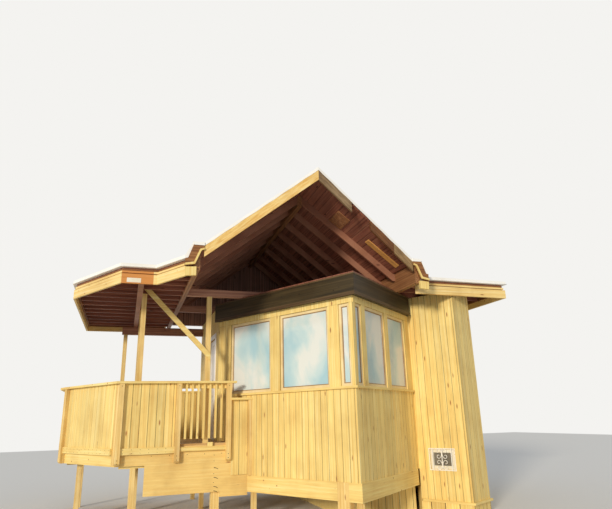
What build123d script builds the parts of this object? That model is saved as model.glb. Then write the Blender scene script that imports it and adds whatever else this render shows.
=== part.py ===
"""Timber tree house: a raised room with a glazed front corner under a prowed gable, two low wing
roofs, and a many-sided deck with solid and open railings.

Frame: +X to the right along the front, +Y towards the back, +Z up, millimetres.
The origin is on the ground in the middle of the building's box, under the gable's ridge.
"""
from math import cos, hypot, radians, sin, tan
import os

from build123d import *

os.makedirs("parts", exist_ok=True)

# Timber sizes
STUD = 38.0  # thickness of framing timber
POST = 89.0  # square post
BOARD = 19.0  # tongue and groove boards
CAP_WIDTH = 140.0
CAP_OVERHANG = 15.0
WALL = 120.0  # framed wall with its boards
JOINT = 0.5  # each timber's end is cut this far short of a mitre or butt
JOIST_SPACING = 400.0
BALUSTER = 38.0
BALUSTER_COUNT = 7

# Levels above the ground
DECK_TOP = 1305.0
JOIST_DEPTH = 184.0
RIM_BOTTOM = 982.0
LEFT_SKIRT_BOTTOM = 500.0
RIGHT_SKIRT_BOTTOM = 420.0
SKIRT_LEFT = -2508.0
SKIRT_JOINT = -1230.0  # where the lower right part of the skirt starts
RAIL_HEIGHT = 1067.0  # handrail's top above the deck
TRIM_BOTTOM = 1165.0
TRIM_TOP = 1271.0
POST_FOOT = 1005.0
BALUSTER_FOOT = 1386.0
LOOSE_RAIL_BOTTOM = 1187.0
LOOSE_RAIL_TOP = 1256.0
LOW_CAP_TOP = 2072.0
LOW_PANEL_BOTTOM = 759.0
ROOM_BOTTOM = 740.0
ROOM_SKIRT_BOTTOM = 470.0
SILL = 2157.0
ROOF_UNDER = 3960.0  # top of the walls and posts' beams
HEAD_DROP = 470.0  # window heads below it
ROOF_JOIST = 140.0
WING_SHEATHING = 19.0
WING_EDGE = 61.0  # thick white edge
FASCIA_DROP = 110.0
FASCIA_LAP = 50.0
BEAM_DEPTH = 140.0

# Plan of the deck: the corner, the slanted left side and the far left side
DECK_CORNER = (-3004.0, -876.0)
SLANT = 120.0
SLANT_LENGTH = 1920.0
FAR_ANGLE = 111.0
FAR_LENGTH = 220.0
BACK_Y = 2600.0
DECK_RIGHT = -704.0  # where the deck's front meets the room's left face
GAP_LEFT = -1946.0  # open railing between its two posts
GAP_RIGHT = -1144.0
LOW_PANEL_LEFT = -1040.0
LOW_PANEL_RIGHT = -745.0

# Plan of the room: its left face slants as the deck does, and a bay's face further right is parallel
LEFT_FACE_OUT = 2454.0  # from the deck's front to the room's corner
LEFT_FACE_IN = 930.0  # from the deck's front back along the deck
RIGHT_FACE = 2460.0
RIGHT_FACE_ANGLE = 40.0
BAY_FACE = 1020.0
ROOM_RIGHT = 3480.0
LOWER_LEFT = 900.0  # left side of the ground storey

# Plan and profile of the roofs
WING_LEFT = -3940.0
WING_LEFT_FRONT = -620.0  # front end of the left side
WING_STEP_Y = -2050.0
WING_STEP_RIGHT = -2557.0
GABLE_FRONT = -2730.0
PROW = 300.0  # how far the ridge reaches past the gable's feet
WING_RIGHT_FRONT = -2400.0
EAVE_X = 1870.0
SHOULDER_X = 2040.0
EAVE_BEAM_OUT = 2010.0
UPSTAND = 220.0  # gable's eaves above the wing roofs
GABLE_RISE = 1440.0
SKIN = 20.0
SHEATHING = 45.0
RAFTER = 150.0
RAFTER_SPACING = 600.0
FIRST_RAFTER = 810.0  # behind the gable's front
BARGE_DEPTH = 210.0
RIDGE_DEPTH = 235.0

# Windows along the two glazed faces, measured from the room's corner
CORNER_POST = 75.0
LEFT_WINDOWS = ((CORNER_POST, 298.0), (530.0, 1660.0), (1900.0, 3010.0))
RIGHT_WINDOWS = ((CORNER_POST, 290.0), (440.0, 1240.0), (1400.0, 2200.0))
FRAME = 45.0
GLASS = 12.0
HEADER_DEPTH = 100.0  # header over the windows, which reaches furthest to the front


def along(start, angle, length):
    """The plan point at a distance from start in a direction given in degrees from +X."""
    return (start[0] + length * cos(radians(angle)), start[1] + length * sin(radians(angle)))


def face_plane(start, end):
    """Upright plane on the ground, x from start to end, its normal on the outer side."""
    run = hypot(end[0] - start[0], end[1] - start[1])
    x_dir = ((end[0] - start[0]) / run, (end[1] - start[1]) / run, 0)
    return Plane(origin=(*start, 0), x_dir=x_dir, z_dir=(x_dir[1], -x_dir[0], 0))


def shifted(points, distances):
    """Outline whose edges are moved outwards, each by its own distance, and meet again."""
    count = len(points)
    lines = []
    for i in range(count):
        (x0, y0), (x1, y1) = points[i], points[(i + 1) % count]
        run = hypot(x1 - x0, y1 - y0)
        dx, dy = (x1 - x0) / run, (y1 - y0) / run
        lines.append((x0 + dy * distances[i], y0 - dx * distances[i], dx, dy))
    moved = []
    for i in range(count):
        ax, ay, adx, ady = lines[i - 1]
        bx, by, bdx, bdy = lines[i]
        step = ((bx - ax) * bdy - (by - ay) * bdx) / (adx * bdy - ady * bdx)
        moved.append((ax + step * adx, ay + step * ady))
    return moved


def edge_strip(points, index, inner, outer):
    """Plan outline of a board along one edge, cut just short of the mitres at both ends."""
    near = shifted(points, [outer] * len(points))
    rear = shifted(points, [inner] * len(points))
    after = (index + 1) % len(points)
    start, end = points[index], points[after]
    run = hypot(end[0] - start[0], end[1] - start[1])
    dx = (end[0] - start[0]) / run * JOINT
    dy = (end[1] - start[1]) / run * JOINT
    corners = (near[index], near[after], rear[after], rear[index])
    return [(x + s * dx, y + s * dy) for (x, y), s in zip(corners, (1, -1, -1, 1))]


def prism(points, z0, z1, mode=Mode.ADD):
    """Level plate with a plan outline."""
    with BuildSketch(Plane.XY.offset(z0)) as outline:
        with BuildLine():
            Polyline(*points, close=True)
        make_face()
    extrude(outline.sketch, amount=z1 - z0, mode=mode)


def block(x0, x1, y0, y1, z0, z1):
    """Square timber along the axes."""
    prism([(x0, y0), (x1, y0), (x1, y1), (x0, y1)], z0, z1)


def board(plane, u0, u1, v0, v1, inner, outer, mode=Mode.ADD):
    """Board on an upright plane: u along it, v up it, between two depths along its normal."""
    with BuildSketch(plane.offset(inner)) as outline:
        with Locations(((u0 + u1) / 2, (v0 + v1) / 2)):
            Rectangle(u1 - u0, v1 - v0)
    extrude(outline.sketch, amount=outer - inner, mode=mode)


def profile(points, y0, y1, mode=Mode.ADD):
    """Outline in x and z carried from y0 to y1."""
    with BuildSketch(Plane.XZ.offset(-y0)) as outline:
        with BuildLine():
            Polyline(*points, close=True)
        make_face()
    extrude(outline.sketch, amount=y0 - y1, mode=mode)


def stripes(points, width, spacing, first, z0, z1, lengthwise):
    """Parallel timbers that fill a plan outline, along x where lengthwise is true."""
    xs = [p[0] for p in points]
    ys = [p[1] for p in points]
    low, high = (min(ys), max(ys)) if lengthwise else (min(xs), max(xs))
    with BuildSketch(Plane.XY.offset(z0)) as outline:
        place = first
        while place < high:
            if place > low:
                if lengthwise:
                    with Locations(((min(xs) + max(xs)) / 2, place)):
                        Rectangle(2 * (max(xs) - min(xs)), width)
                else:
                    with Locations((place, (min(ys) + max(ys)) / 2)):
                        Rectangle(width, 2 * (max(ys) - min(ys)))
            place += spacing
        with BuildSketch(mode=Mode.INTERSECT):
            with BuildLine():
                Polyline(*points, close=True)
            make_face()
    extrude(outline.sketch, amount=z1 - z0)


def save(piece, name):
    """Name the finished piece and write its file."""
    piece.part.label = name
    export_step(piece.part, f"parts/{name}.step")


# Plan outlines that many pieces share, anticlockwise from above
front_y = DECK_CORNER[1]
slant_end = along(DECK_CORNER, SLANT, SLANT_LENGTH)
far_end = along(slant_end, FAR_ANGLE, FAR_LENGTH)
deck_right = (DECK_RIGHT, front_y)
room_left = along(deck_right, SLANT, LEFT_FACE_IN)
room_corner = along(deck_right, SLANT, -LEFT_FACE_OUT)
right_face_end = along(room_corner, RIGHT_FACE_ANGLE, RIGHT_FACE)
room_front = right_face_end[1]
bay_corner = along(right_face_end, SLANT, -BAY_FACE)
bay_side = along(bay_corner, SLANT - 90, (ROOM_RIGHT - bay_corner[0]) / sin(radians(SLANT)))
deck = [
    DECK_CORNER,
    deck_right,
    room_left,
    (room_left[0], BACK_Y),
    (far_end[0], BACK_Y),
    far_end,
    slant_end,
]
room = [
    room_left,
    room_corner,
    right_face_end,
    bay_corner,
    bay_side,
    (ROOM_RIGHT, BACK_Y),
    (room_left[0], BACK_Y),
]
roof_back = -shifted(room, [HEADER_DEPTH] * len(room))[1][1]
post_out = POST - BOARD
cap_outer = post_out + CAP_OVERHANG
cap_inner = cap_outer - CAP_WIDTH
wing_right = cap_outer - far_end[0]
step_run = (WING_LEFT_FRONT - WING_STEP_Y) / sin(radians(SLANT))
step_left = along((WING_LEFT, WING_LEFT_FRONT), SLANT, -step_run)
step_end = along((WING_STEP_RIGHT, WING_STEP_Y), SLANT, (GABLE_FRONT - WING_STEP_Y) / sin(radians(SLANT)))
upstand_x = -step_end[0]
left_wing = [
    step_left,
    (WING_STEP_RIGHT, WING_STEP_Y),
    step_end,
    (-EAVE_BEAM_OUT, GABLE_FRONT),
    (-EAVE_BEAM_OUT, roof_back),
    (WING_LEFT, roof_back),
    (WING_LEFT, WING_LEFT_FRONT),
]
right_wing = [
    (EAVE_BEAM_OUT, GABLE_FRONT),
    (upstand_x, GABLE_FRONT),
    (upstand_x, WING_RIGHT_FRONT),
    (wing_right, WING_RIGHT_FRONT),
    (wing_right, roof_back),
    (EAVE_BEAM_OUT, roof_back),
]

front = face_plane(DECK_CORNER, deck_right)
slant = face_plane(slant_end, DECK_CORNER)
left_face = face_plane(room_left, room_corner)
right_face = face_plane(room_corner, right_face_end)
bay_face = face_plane(right_face_end, bay_corner)
right_wall_plane = face_plane(bay_side, (ROOM_RIGHT, BACK_Y))
back_wall_plane = face_plane((ROOM_RIGHT, BACK_Y), (room_left[0], BACK_Y))
left_wall_plane = face_plane((room_left[0], BACK_Y), room_left)
left_face_run = LEFT_FACE_IN + LEFT_FACE_OUT

joist_top = DECK_TOP - STUD
joist_bottom = joist_top - JOIST_DEPTH
cap_bottom = DECK_TOP + RAIL_HEIGHT - STUD
low_top = LOW_CAP_TOP - STUD
rim_back = -BOARD - STUD
deck_beam_bottom = joist_bottom - BEAM_DEPTH
half = POST / 2
window_head = ROOF_UNDER - HEAD_DROP
roof_joist_top = ROOF_UNDER + ROOF_JOIST
sheathing_top = roof_joist_top + WING_SHEATHING
wing_top = sheathing_top + WING_EDGE
eave_top = wing_top + UPSTAND
ridge_top = eave_top + GABLE_RISE


def front_u(x):
    """Distance along the deck's front of a place given by x."""
    return x - DECK_CORNER[0]


def face_x(y, out):
    """x at a given y of a line that lies a distance outside the room's left face."""
    return DECK_RIGHT + (y - front_y) / tan(radians(SLANT)) - out / sin(radians(SLANT))


def deck_left(y):
    """x of the deck's left outline at a given y."""
    on_slant = DECK_CORNER[0] + (y - front_y) / tan(radians(SLANT))
    on_side = slant_end[0] + (y - slant_end[1]) / tan(radians(FAR_ANGLE))
    return max(far_end[0], on_slant, on_side)


# Deck floor on joists that run from front to back
with BuildPart() as deck_floor:
    prism(shifted(deck, [-BOARD, 0, 0, -BOARD, -BOARD, -BOARD, -BOARD]), joist_top, DECK_TOP)
save(deck_floor, "deck_floor")

room_inside = shifted(room, [-WALL] * len(room))
joist_area = shifted(deck, [rim_back, -1, -1, rim_back, rim_back, rim_back, rim_back])
with BuildPart() as floor_joists:
    stripes(joist_area, STUD, JOIST_SPACING, far_end[0] + 200, joist_bottom, joist_top, False)
    stripes(room_inside, STUD, JOIST_SPACING, room_left[0] + 250, joist_bottom, joist_top, False)
save(floor_joists, "floor_joists")

BIG_POST = 140.0
BEAM_INSET = 127.0  # from the deck's outline to a beam's end
POST_INSET = 230.0  # from a beam's end to its first post
MIDDLE_POST_X = -2600.0
RIGHT_GROUND_X = -1300.0
skirt_outer_y = front_y + BOARD
skirt_inner_y = skirt_outer_y + STUD
BEAM_ROWS = (skirt_inner_y + BIG_POST / 2, 900.0, 2350.0)
BEAM_RIGHT = (-1000.0, -1230.0, -1230.0)
beam_left = [deck_left(row - half) + BEAM_INSET for row in BEAM_ROWS]
with BuildPart() as deck_beams:
    for row, left, right in zip(BEAM_ROWS, beam_left, BEAM_RIGHT):
        block(left, right, row - half, row + half, deck_beam_bottom, joist_bottom)
save(deck_beams, "deck_beams")

# Posts on the ground: a thick one stands behind the joint of the skirt, and a boxed pier under the room
SILL_LAP = 20.0
PIER_NEAR = 225.0  # from the room's corner
PIER = 225.0
pier_u = left_face_run - PIER_NEAR - PIER
with BuildPart() as ground_posts:
    big_x = SKIRT_JOINT - BIG_POST
    block(big_x, SKIRT_JOINT, skirt_inner_y, skirt_inner_y + BIG_POST, 0, deck_beam_bottom)
    for row, left in zip(BEAM_ROWS, beam_left):
        block(left + POST_INSET - half, left + POST_INSET + half, row - half, row + half, 0, deck_beam_bottom)
    for x in (MIDDLE_POST_X, RIGHT_GROUND_X):
        for row in BEAM_ROWS[1:]:
            block(x - half, x + half, row - half, row + half, 0, deck_beam_bottom)
    inset = along(room_corner, (SLANT + RIGHT_FACE_ANGLE) / 2, WALL)
    for x, y in (inset, along(inset, SLANT, LEFT_FACE_OUT - WALL)):
        block(x - half, x + half, y - half, y + half, 0, ROOM_SKIRT_BOTTOM)
    board(left_face, pier_u, pier_u + PIER, 0, ROOM_BOTTOM, -WALL, SILL_LAP)
save(ground_posts, "ground_posts")

# Rims round the deck and the deep plywood skirt along its front
with BuildPart() as deck_rims:
    for index in (3, 4, 5, 6):
        prism(edge_strip(deck, index, rim_back, -BOARD), RIM_BOTTOM, joist_top)
save(deck_rims, "deck_rims")

with BuildPart() as front_skirt:
    strip = edge_strip(deck, 0, rim_back, -BOARD)
    outer_end = (face_x(skirt_outer_y, SILL_LAP), skirt_outer_y)
    inner_end = (face_x(skirt_inner_y, SILL_LAP), skirt_inner_y)
    prism([strip[0], outer_end, inner_end, strip[3]], RIM_BOTTOM, joist_top)
    block(SKIRT_LEFT, SKIRT_JOINT, skirt_outer_y, skirt_inner_y, LEFT_SKIRT_BOTTOM, RIM_BOTTOM)
    prism(
        [(SKIRT_JOINT, skirt_outer_y), outer_end, inner_end, (SKIRT_JOINT, skirt_inner_y)],
        RIGHT_SKIRT_BOTTOM,
        RIM_BOTTOM,
    )
save(front_skirt, "front_skirt")

# Railing panels of upright boards on the outside of the rims, and the trim at their feet
with BuildPart() as left_panel:
    prism(edge_strip(deck, 6, -BOARD, 0), TRIM_BOTTOM, cap_bottom)
    board(slant, SLANT_LENGTH - POST, SLANT_LENGTH + POST, 0, cap_bottom, -BOARD, POST, Mode.SUBTRACT)
    board(slant, -POST, POST, 0, cap_bottom, -BOARD, POST, Mode.SUBTRACT)
save(left_panel, "left_panel")

with BuildPart() as side_panels:
    for index in (3, 4, 5):
        prism(edge_strip(deck, index, -BOARD, 0), TRIM_BOTTOM, cap_bottom)
save(side_panels, "side_panels")

post_left_u = front_u(GAP_LEFT) - POST
with BuildPart() as front_panels:
    board(front, POST, post_left_u, TRIM_BOTTOM, cap_bottom, -BOARD, 0)
    board(front, front_u(LOW_PANEL_LEFT), front_u(LOW_PANEL_RIGHT), LOW_PANEL_BOTTOM, low_top, -BOARD, 0)
save(front_panels, "front_panels")

with BuildPart() as foot_rails:
    board(front, POST, post_left_u, TRIM_BOTTOM, TRIM_TOP, 0, STUD)
    board(slant, POST, SLANT_LENGTH - POST, TRIM_BOTTOM, TRIM_TOP, 0, STUD)
    board(front, front_u(GAP_LEFT), front_u(GAP_RIGHT), LOOSE_RAIL_BOTTOM, LOOSE_RAIL_TOP, -BOARD, STUD)
save(foot_rails, "foot_rails")

# Posts bolted to the outside of the rims, each with its foot bevelled off at the front
FOOT_BEVEL = 30.0


def rail_post(plane, u0, u1, foot):
    """Railing post against a rim, its width from u0 to u1 along the plane."""
    side = Plane(origin=plane.from_local_coords((u1, 0, 0)), x_dir=plane.z_dir, z_dir=-plane.x_dir)
    with BuildSketch(side) as outline:
        with BuildLine():
            Polyline(
                (-BOARD, foot),
                (post_out - FOOT_BEVEL, foot),
                (post_out, foot + FOOT_BEVEL),
                (post_out, cap_bottom),
                (-BOARD, cap_bottom),
                close=True,
            )
        make_face()
    extrude(outline.sketch, amount=u1 - u0)


with BuildPart() as rail_posts:
    for u in (0, post_left_u, front_u(GAP_RIGHT)):
        rail_post(front, u, u + POST, POST_FOOT)
    rail_post(slant, 4 * JOINT, POST, RIM_BOTTOM)
    board(slant, SLANT_LENGTH - POST, SLANT_LENGTH - JOINT, POST_FOOT, cap_bottom, -BOARD, 0)
    y0 = front_y - post_out
    prism(
        [
            (LOW_PANEL_RIGHT, y0),
            (face_x(y0, JOINT), y0),
            (face_x(skirt_outer_y, JOINT), skirt_outer_y),
            (LOW_PANEL_RIGHT, skirt_outer_y),
        ],
        ROOM_BOTTOM,
        low_top,
    )
save(rail_posts, "rail_posts")

# Open section: square balusters hung from a rail, stopping short of the deck
baluster_pitch = (GAP_RIGHT - GAP_LEFT + BALUSTER) / (BALUSTER_COUNT + 1)
with BuildPart() as baluster_rail:
    u0 = front_u(GAP_LEFT) - half
    u1 = front_u(GAP_RIGHT) + half
    board(front, u0, u1, cap_bottom - POST, cap_bottom, rim_back, -BOARD)
save(baluster_rail, "baluster_rail")

with BuildPart() as balusters:
    for i in range(BALUSTER_COUNT):
        centre = front_u(GAP_LEFT) - BALUSTER / 2 + (i + 1) * baluster_pitch
        u0 = centre - BALUSTER / 2
        board(front, u0, u0 + BALUSTER, BALUSTER_FOOT, cap_bottom, -BOARD, BALUSTER - BOARD)
save(balusters, "balusters")

# Handrail boards, mitred at the corners
cap_top = cap_bottom + STUD
with BuildPart() as handrails:
    for index in (4, 5, 6):
        prism(edge_strip(deck, index, cap_inner, cap_outer), cap_bottom, cap_top)
    cap = edge_strip(deck, 0, cap_inner, cap_outer)
    end_x = GAP_RIGHT + POST + POST
    prism([cap[0], (end_x, cap[0][1]), (end_x, cap[3][1]), cap[3]], cap_bottom, cap_top)
    cap = edge_strip(deck, 3, cap_inner, cap_outer)
    prism([(room_left[0], cap[0][1]), cap[1], cap[2], (room_left[0], cap[3][1])], cap_bottom, cap_top)
    y0 = front_y - cap_outer
    y1 = front_y - cap_inner
    left_x = LOW_PANEL_LEFT - CAP_OVERHANG
    prism([(left_x, y0), (face_x(y0, 0), y0), (face_x(y1, 0), y1), (left_x, y1)], low_top, LOW_CAP_TOP)
save(handrails, "handrails")


# Walls of the room
def wall_strip(index):
    """Plan outline of one wall, mitred to the next ones."""
    return edge_strip(room, index, -WALL, 0)


face_windows = []
for near, away in LEFT_WINDOWS:
    face_windows.append((left_face, left_face_run - away, left_face_run - near, SILL, window_head))
right_windows = [(right_face, near, away, SILL, window_head) for near, away in RIGHT_WINDOWS]
SIDE_WINDOW = (1900.0, 3200.0)
side_windows = [(right_wall_plane, *SIDE_WINDOW, SILL, window_head)]
BACK_WINDOWS = (900.0, 2700.0)
BACK_WINDOW_WIDTH = 1100.0
back_windows = [(back_wall_plane, u, u + BACK_WINDOW_WIDTH, SILL, window_head) for u in BACK_WINDOWS]
LOW_WINDOW = (250.0, 735.0)
LOW_WINDOW_SILL = 740.0
LOW_WINDOW_TOP = 1080.0
low_windows = [(bay_face, *LOW_WINDOW, LOW_WINDOW_SILL, LOW_WINDOW_TOP)]


def cut_windows(windows):
    """Cut a wall's windows right through it."""
    for plane, u0, u1, v0, v1 in windows:
        board(plane, u0, u1, v0, v1, -2 * WALL, WALL, Mode.SUBTRACT)


with BuildPart() as left_face_wall:
    prism(wall_strip(0), ROOM_BOTTOM, ROOF_UNDER)
    cut_windows(face_windows)
save(left_face_wall, "left_face_wall")

with BuildPart() as right_face_wall:
    prism(wall_strip(1), ROOM_BOTTOM, ROOF_UNDER)
    cut_windows(right_windows)
save(right_face_wall, "right_face_wall")

# The bay's two faces stand on the ground, and the ground storey's front wall runs back to the left
with BuildPart() as front_wall:
    prism(wall_strip(2), 0, ROOF_UNDER)
    cut_windows(low_windows)
    prism(wall_strip(3), 0, ROOF_UNDER)
    block(LOWER_LEFT, right_face_end[0] - WALL, room_front, room_front + WALL, 0, ROOM_SKIRT_BOTTOM)
    block(LOWER_LEFT, right_face_end[0] - 2 * WALL, room_front, room_front + WALL, 0, joist_bottom)
save(front_wall, "front_wall")

with BuildPart() as right_wall:
    prism(wall_strip(4), 0, ROOF_UNDER)
    cut_windows(side_windows)
save(right_wall, "right_wall")

with BuildPart() as back_wall:
    prism(wall_strip(5), ROOM_BOTTOM, ROOF_UNDER)
    block(LOWER_LEFT, ROOM_RIGHT - WALL, BACK_Y - WALL, BACK_Y, 0, ROOM_BOTTOM)
    cut_windows(back_windows)
save(back_wall, "back_wall")

DOOR_WIDTH = 860.0
DOOR_HEIGHT = 2045.0
DOOR_FROM_FRONT = 420.0
DOOR_THICK = 45.0
DOOR_RECESS = 35.0
door_top = DECK_TOP + DOOR_HEIGHT
door_u1 = BACK_Y - room_left[1] - DOOR_FROM_FRONT
door_u0 = door_u1 - DOOR_WIDTH
with BuildPart() as left_wall:
    prism(wall_strip(6), ROOM_BOTTOM, ROOF_UNDER)
    board(left_wall_plane, door_u0, door_u1, DECK_TOP, door_top, -2 * WALL, WALL, Mode.SUBTRACT)
save(left_wall, "left_wall")

with BuildPart() as door:
    board(left_wall_plane, door_u0, door_u1, DECK_TOP, door_top, -DOOR_RECESS - DOOR_THICK, -DOOR_RECESS)
save(door, "door")

with BuildPart() as room_floor:
    prism(room_inside, joist_top, DECK_TOP)
save(room_floor, "room_floor")

# Sills under the walls, cut away at the pier, and the ledges below the windows and round the bay's foot
BASE_LEDGE_TOP = 228.0
LEDGE_OUT = 45.0
LEDGE_FROM = 200.0  # from the deck side's end of the left face
with BuildPart() as wall_sills:
    prism(edge_strip(room, 0, -WALL, SILL_LAP), ROOM_SKIRT_BOTTOM, ROOM_BOTTOM)
    prism(edge_strip(room, 1, -WALL, SILL_LAP), ROOM_SKIRT_BOTTOM, ROOM_BOTTOM)
    board(
        left_face,
        pier_u - JOINT,
        pier_u + PIER + JOINT,
        ROOM_SKIRT_BOTTOM,
        ROOM_BOTTOM,
        -2 * WALL,
        WALL,
        Mode.SUBTRACT,
    )
    board(right_face, RIGHT_FACE - WALL, RIGHT_FACE + WALL, 0, ROOM_BOTTOM, -WALL, WALL, Mode.SUBTRACT)
    ledge = edge_strip(room, 0, 0, LEDGE_OUT)
    prism(
        [along(ledge[0], SLANT, -LEDGE_FROM), ledge[1], ledge[2], along(ledge[3], SLANT, -LEDGE_FROM)],
        SILL - STUD,
        SILL,
    )
    prism(edge_strip(room, 1, 0, LEDGE_OUT), SILL - STUD, SILL)
    for index in (2, 3):
        prism(edge_strip(room, index, 0, LEDGE_OUT), BASE_LEDGE_TOP - STUD, BASE_LEDGE_TOP)
save(wall_sills, "wall_sills")

with BuildPart() as lower_side_wall:
    block(LOWER_LEFT, LOWER_LEFT + WALL, room_front + WALL, BACK_Y - WALL, 0, joist_bottom)
save(lower_side_wall, "lower_side_wall")

# Window frames, glass and the iron grille of the low window
every_window = face_windows + right_windows + side_windows + back_windows + low_windows
FRAME_INNER = -60.0
FRAME_OUTER = -15.0
GLASS_INNER = -44.0
with BuildPart() as window_frames:
    for plane, u0, u1, v0, v1 in every_window:
        board(plane, u0, u1, v0, v1, FRAME_INNER, FRAME_OUTER)
        board(plane, u0 + FRAME, u1 - FRAME, v0 + FRAME, v1 - FRAME, FRAME_INNER, FRAME_OUTER, Mode.SUBTRACT)
save(window_frames, "window_frames")

with BuildPart() as window_glass:
    for plane, u0, u1, v0, v1 in every_window:
        board(plane, u0 + FRAME, u1 - FRAME, v0 + FRAME, v1 - FRAME, GLASS_INNER, GLASS_INNER + GLASS)
save(window_glass, "window_glass")

# Wrought grille: a frame with a middle bar and two side bars, and pairs of scrolls back to back
GRILLE_BAR = 14.0
GRILLE_LAP = 20.0
GRILLE_SIDE = 75.0  # from the frame's side to a side bar
SCROLL_WIDTH = 8.0
SCROLL_ARCS = ((92.0, 52.0), (33.0, 150.0), (21.0, 130.0))  # radius and turn of each arc
SCROLL_ROWS = 2
grille_left = LOW_WINDOW[0] - GRILLE_LAP
grille_right = LOW_WINDOW[1] + GRILLE_LAP
grille_low = LOW_WINDOW_SILL - GRILLE_LAP
grille_high = LOW_WINDOW_TOP + GRILLE_LAP
grille_middle = (grille_left + grille_right) / 2


def half_scroll(centre, side, up):
    """Upper or lower half of a scroll: arcs that curl tighter, to the side, from the middle bar."""
    with BuildSketch(bay_face) as outline:
        with BuildLine() as centre_line:
            start = (grille_middle + side * GRILLE_BAR / 2, centre)
            heading = (0, up)
            for radius, turn in SCROLL_ARCS:
                arc = JernArc(start=start, tangent=heading, radius=radius, arc_size=-side * up * turn)
                start = arc @ 1
                heading = arc % 1
        trace(centre_line.line, SCROLL_WIDTH)
    extrude(outline.sketch, amount=GRILLE_BAR)


with BuildPart() as window_grille:
    board(bay_face, grille_left, grille_right, grille_low, grille_high, 0, GRILLE_BAR)
    board(
        bay_face,
        grille_left + GRILLE_BAR,
        grille_right - GRILLE_BAR,
        grille_low + GRILLE_BAR,
        grille_high - GRILLE_BAR,
        0,
        GRILLE_BAR,
        Mode.SUBTRACT,
    )
    for u in (grille_left + GRILLE_SIDE, grille_middle, grille_right - GRILLE_SIDE):
        board(bay_face, u - GRILLE_BAR / 2, u + GRILLE_BAR / 2, grille_low, grille_high, 0, GRILLE_BAR)
    row_height = (grille_high - grille_low) / SCROLL_ROWS
    for row in range(SCROLL_ROWS):
        centre = grille_low + (row + 0.5) * row_height
        for side in (-1, 1):
            for up in (-1, 1):
                half_scroll(centre, side, up)
save(window_grille, "window_grille")

HEADER_LIFT = 110.0  # above the window heads
with BuildPart() as header:
    for index in (0, 1):
        prism(edge_strip(room, index, 0, HEADER_DEPTH), window_head + HEADER_LIFT, ROOF_UNDER)
save(header, "header")

# Posts and beams that carry the roofs
LEFT_POST_X = -2690.0
RIGHT_POST_X = -1493.0
BACK_POST_X = -2990.0
BACK_POST_Y = 2450.0
SIDE_BEAM_DEPTH = 100.0
BACK_BEAM_DEPTH = 180.0
BACK_BEAM_END = 40.0  # past the middle of the post
FASCIA_BACK = -98.0
fascia_face = FASCIA_BACK + STUD
roof_post_y = front_y - rim_back + half
middle_y = roof_post_y + 4 * JOIST_SPACING
side_beam_bottom = ROOF_UNDER - SIDE_BEAM_DEPTH
back_beam_bottom = side_beam_bottom - BACK_BEAM_DEPTH
with BuildPart() as roof_posts:
    for x, y, top in (
        (LEFT_POST_X, roof_post_y, ROOF_UNDER),
        (RIGHT_POST_X, roof_post_y, ROOF_UNDER),
        (LEFT_POST_X, middle_y, ROOF_UNDER),
        (BACK_POST_X, BACK_POST_Y, back_beam_bottom),
    ):
        block(x - half, x + half, y - half, y + half, DECK_TOP, top)
save(roof_posts, "roof_posts")

eave_beam_in = EAVE_BEAM_OUT - POST
with BuildPart() as roof_beams:
    side_x = LEFT_POST_X - half
    side_y = WING_STEP_Y - FASCIA_BACK
    block(side_x - POST, side_x, side_y, roof_back + FASCIA_BACK, side_beam_bottom, ROOF_UNDER)
    back_x = BACK_POST_X - half - BACK_BEAM_END
    y0 = BACK_POST_Y - half
    y1 = BACK_POST_Y + half
    block(back_x, room_left[0], y0, y1, back_beam_bottom, side_beam_bottom)
    for y in (roof_post_y, middle_y):
        block(-eave_beam_in, eave_beam_in, y - half, y + half, ROOF_UNDER, ROOF_UNDER + BEAM_DEPTH)
save(roof_beams, "roof_beams")

# Brace nailed across the front of the posts, up to the boards of the wing roof
BRACE_HEAD_X = -2764.0
BRACE_FOOT = 2738.0
BRACE_WIDTH = 89.0
with BuildPart() as knee_brace:
    foot_x = RIGHT_POST_X + half
    brace_run = foot_x - BRACE_HEAD_X
    brace_rise = roof_joist_top - BRACE_FOOT
    brace_length = hypot(brace_run, brace_rise)
    head_width = BRACE_WIDTH * brace_length / brace_rise
    foot_width = BRACE_WIDTH * brace_length / brace_run
    profile(
        [
            (BRACE_HEAD_X, roof_joist_top),
            (foot_x, BRACE_FOOT),
            (foot_x, BRACE_FOOT + foot_width),
            (BRACE_HEAD_X + head_width, roof_joist_top),
        ],
        roof_post_y - half - STUD,
        roof_post_y - half,
    )
save(knee_brace, "knee_brace")

# Wing roofs: joists, boards, the thick white edge with its upstand, and stepped fascias
def inset_wings(distance):
    """Both wings' outlines drawn in from their free edges by a distance."""
    left_distances = [-distance, -distance, -distance, 0, -distance, -distance, -distance]
    right_distances = [-distance, -distance, -distance, -distance, -distance, 0]
    return shifted(left_wing, left_distances), shifted(right_wing, right_distances)


with BuildPart() as wing_joists:
    first = roof_post_y - 4 * JOIST_SPACING
    for area in inset_wings(-FASCIA_BACK):
        stripes(area, STUD, JOIST_SPACING, first, ROOF_UNDER, roof_joist_top, True)
save(wing_joists, "wing_joists")

with BuildPart() as wing_boards:
    for outline in inset_wings(-fascia_face):
        prism(outline, roof_joist_top, sheathing_top)
save(wing_boards, "wing_boards")

SKIN_LEAN = 24.0
lean = (upstand_x - SHOULDER_X) / (eave_top - wing_top)
skin_foot = upstand_x - SKIN_LEAN
skin_knee = SHOULDER_X + lean * SKIN - SKIN_LEAN
with BuildPart() as wing_roofs:
    for side, outline in ((-1, left_wing), (1, right_wing)):
        prism(outline, sheathing_top, wing_top)
        profile(
            [
                (side * skin_foot, wing_top),
                (side * EAVE_BEAM_OUT, wing_top),
                (side * EAVE_BEAM_OUT, eave_top - SKIN),
                (side * skin_knee, eave_top - SKIN),
            ],
            GABLE_FRONT,
            roof_back,
        )
save(wing_roofs, "wing_roofs")

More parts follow.
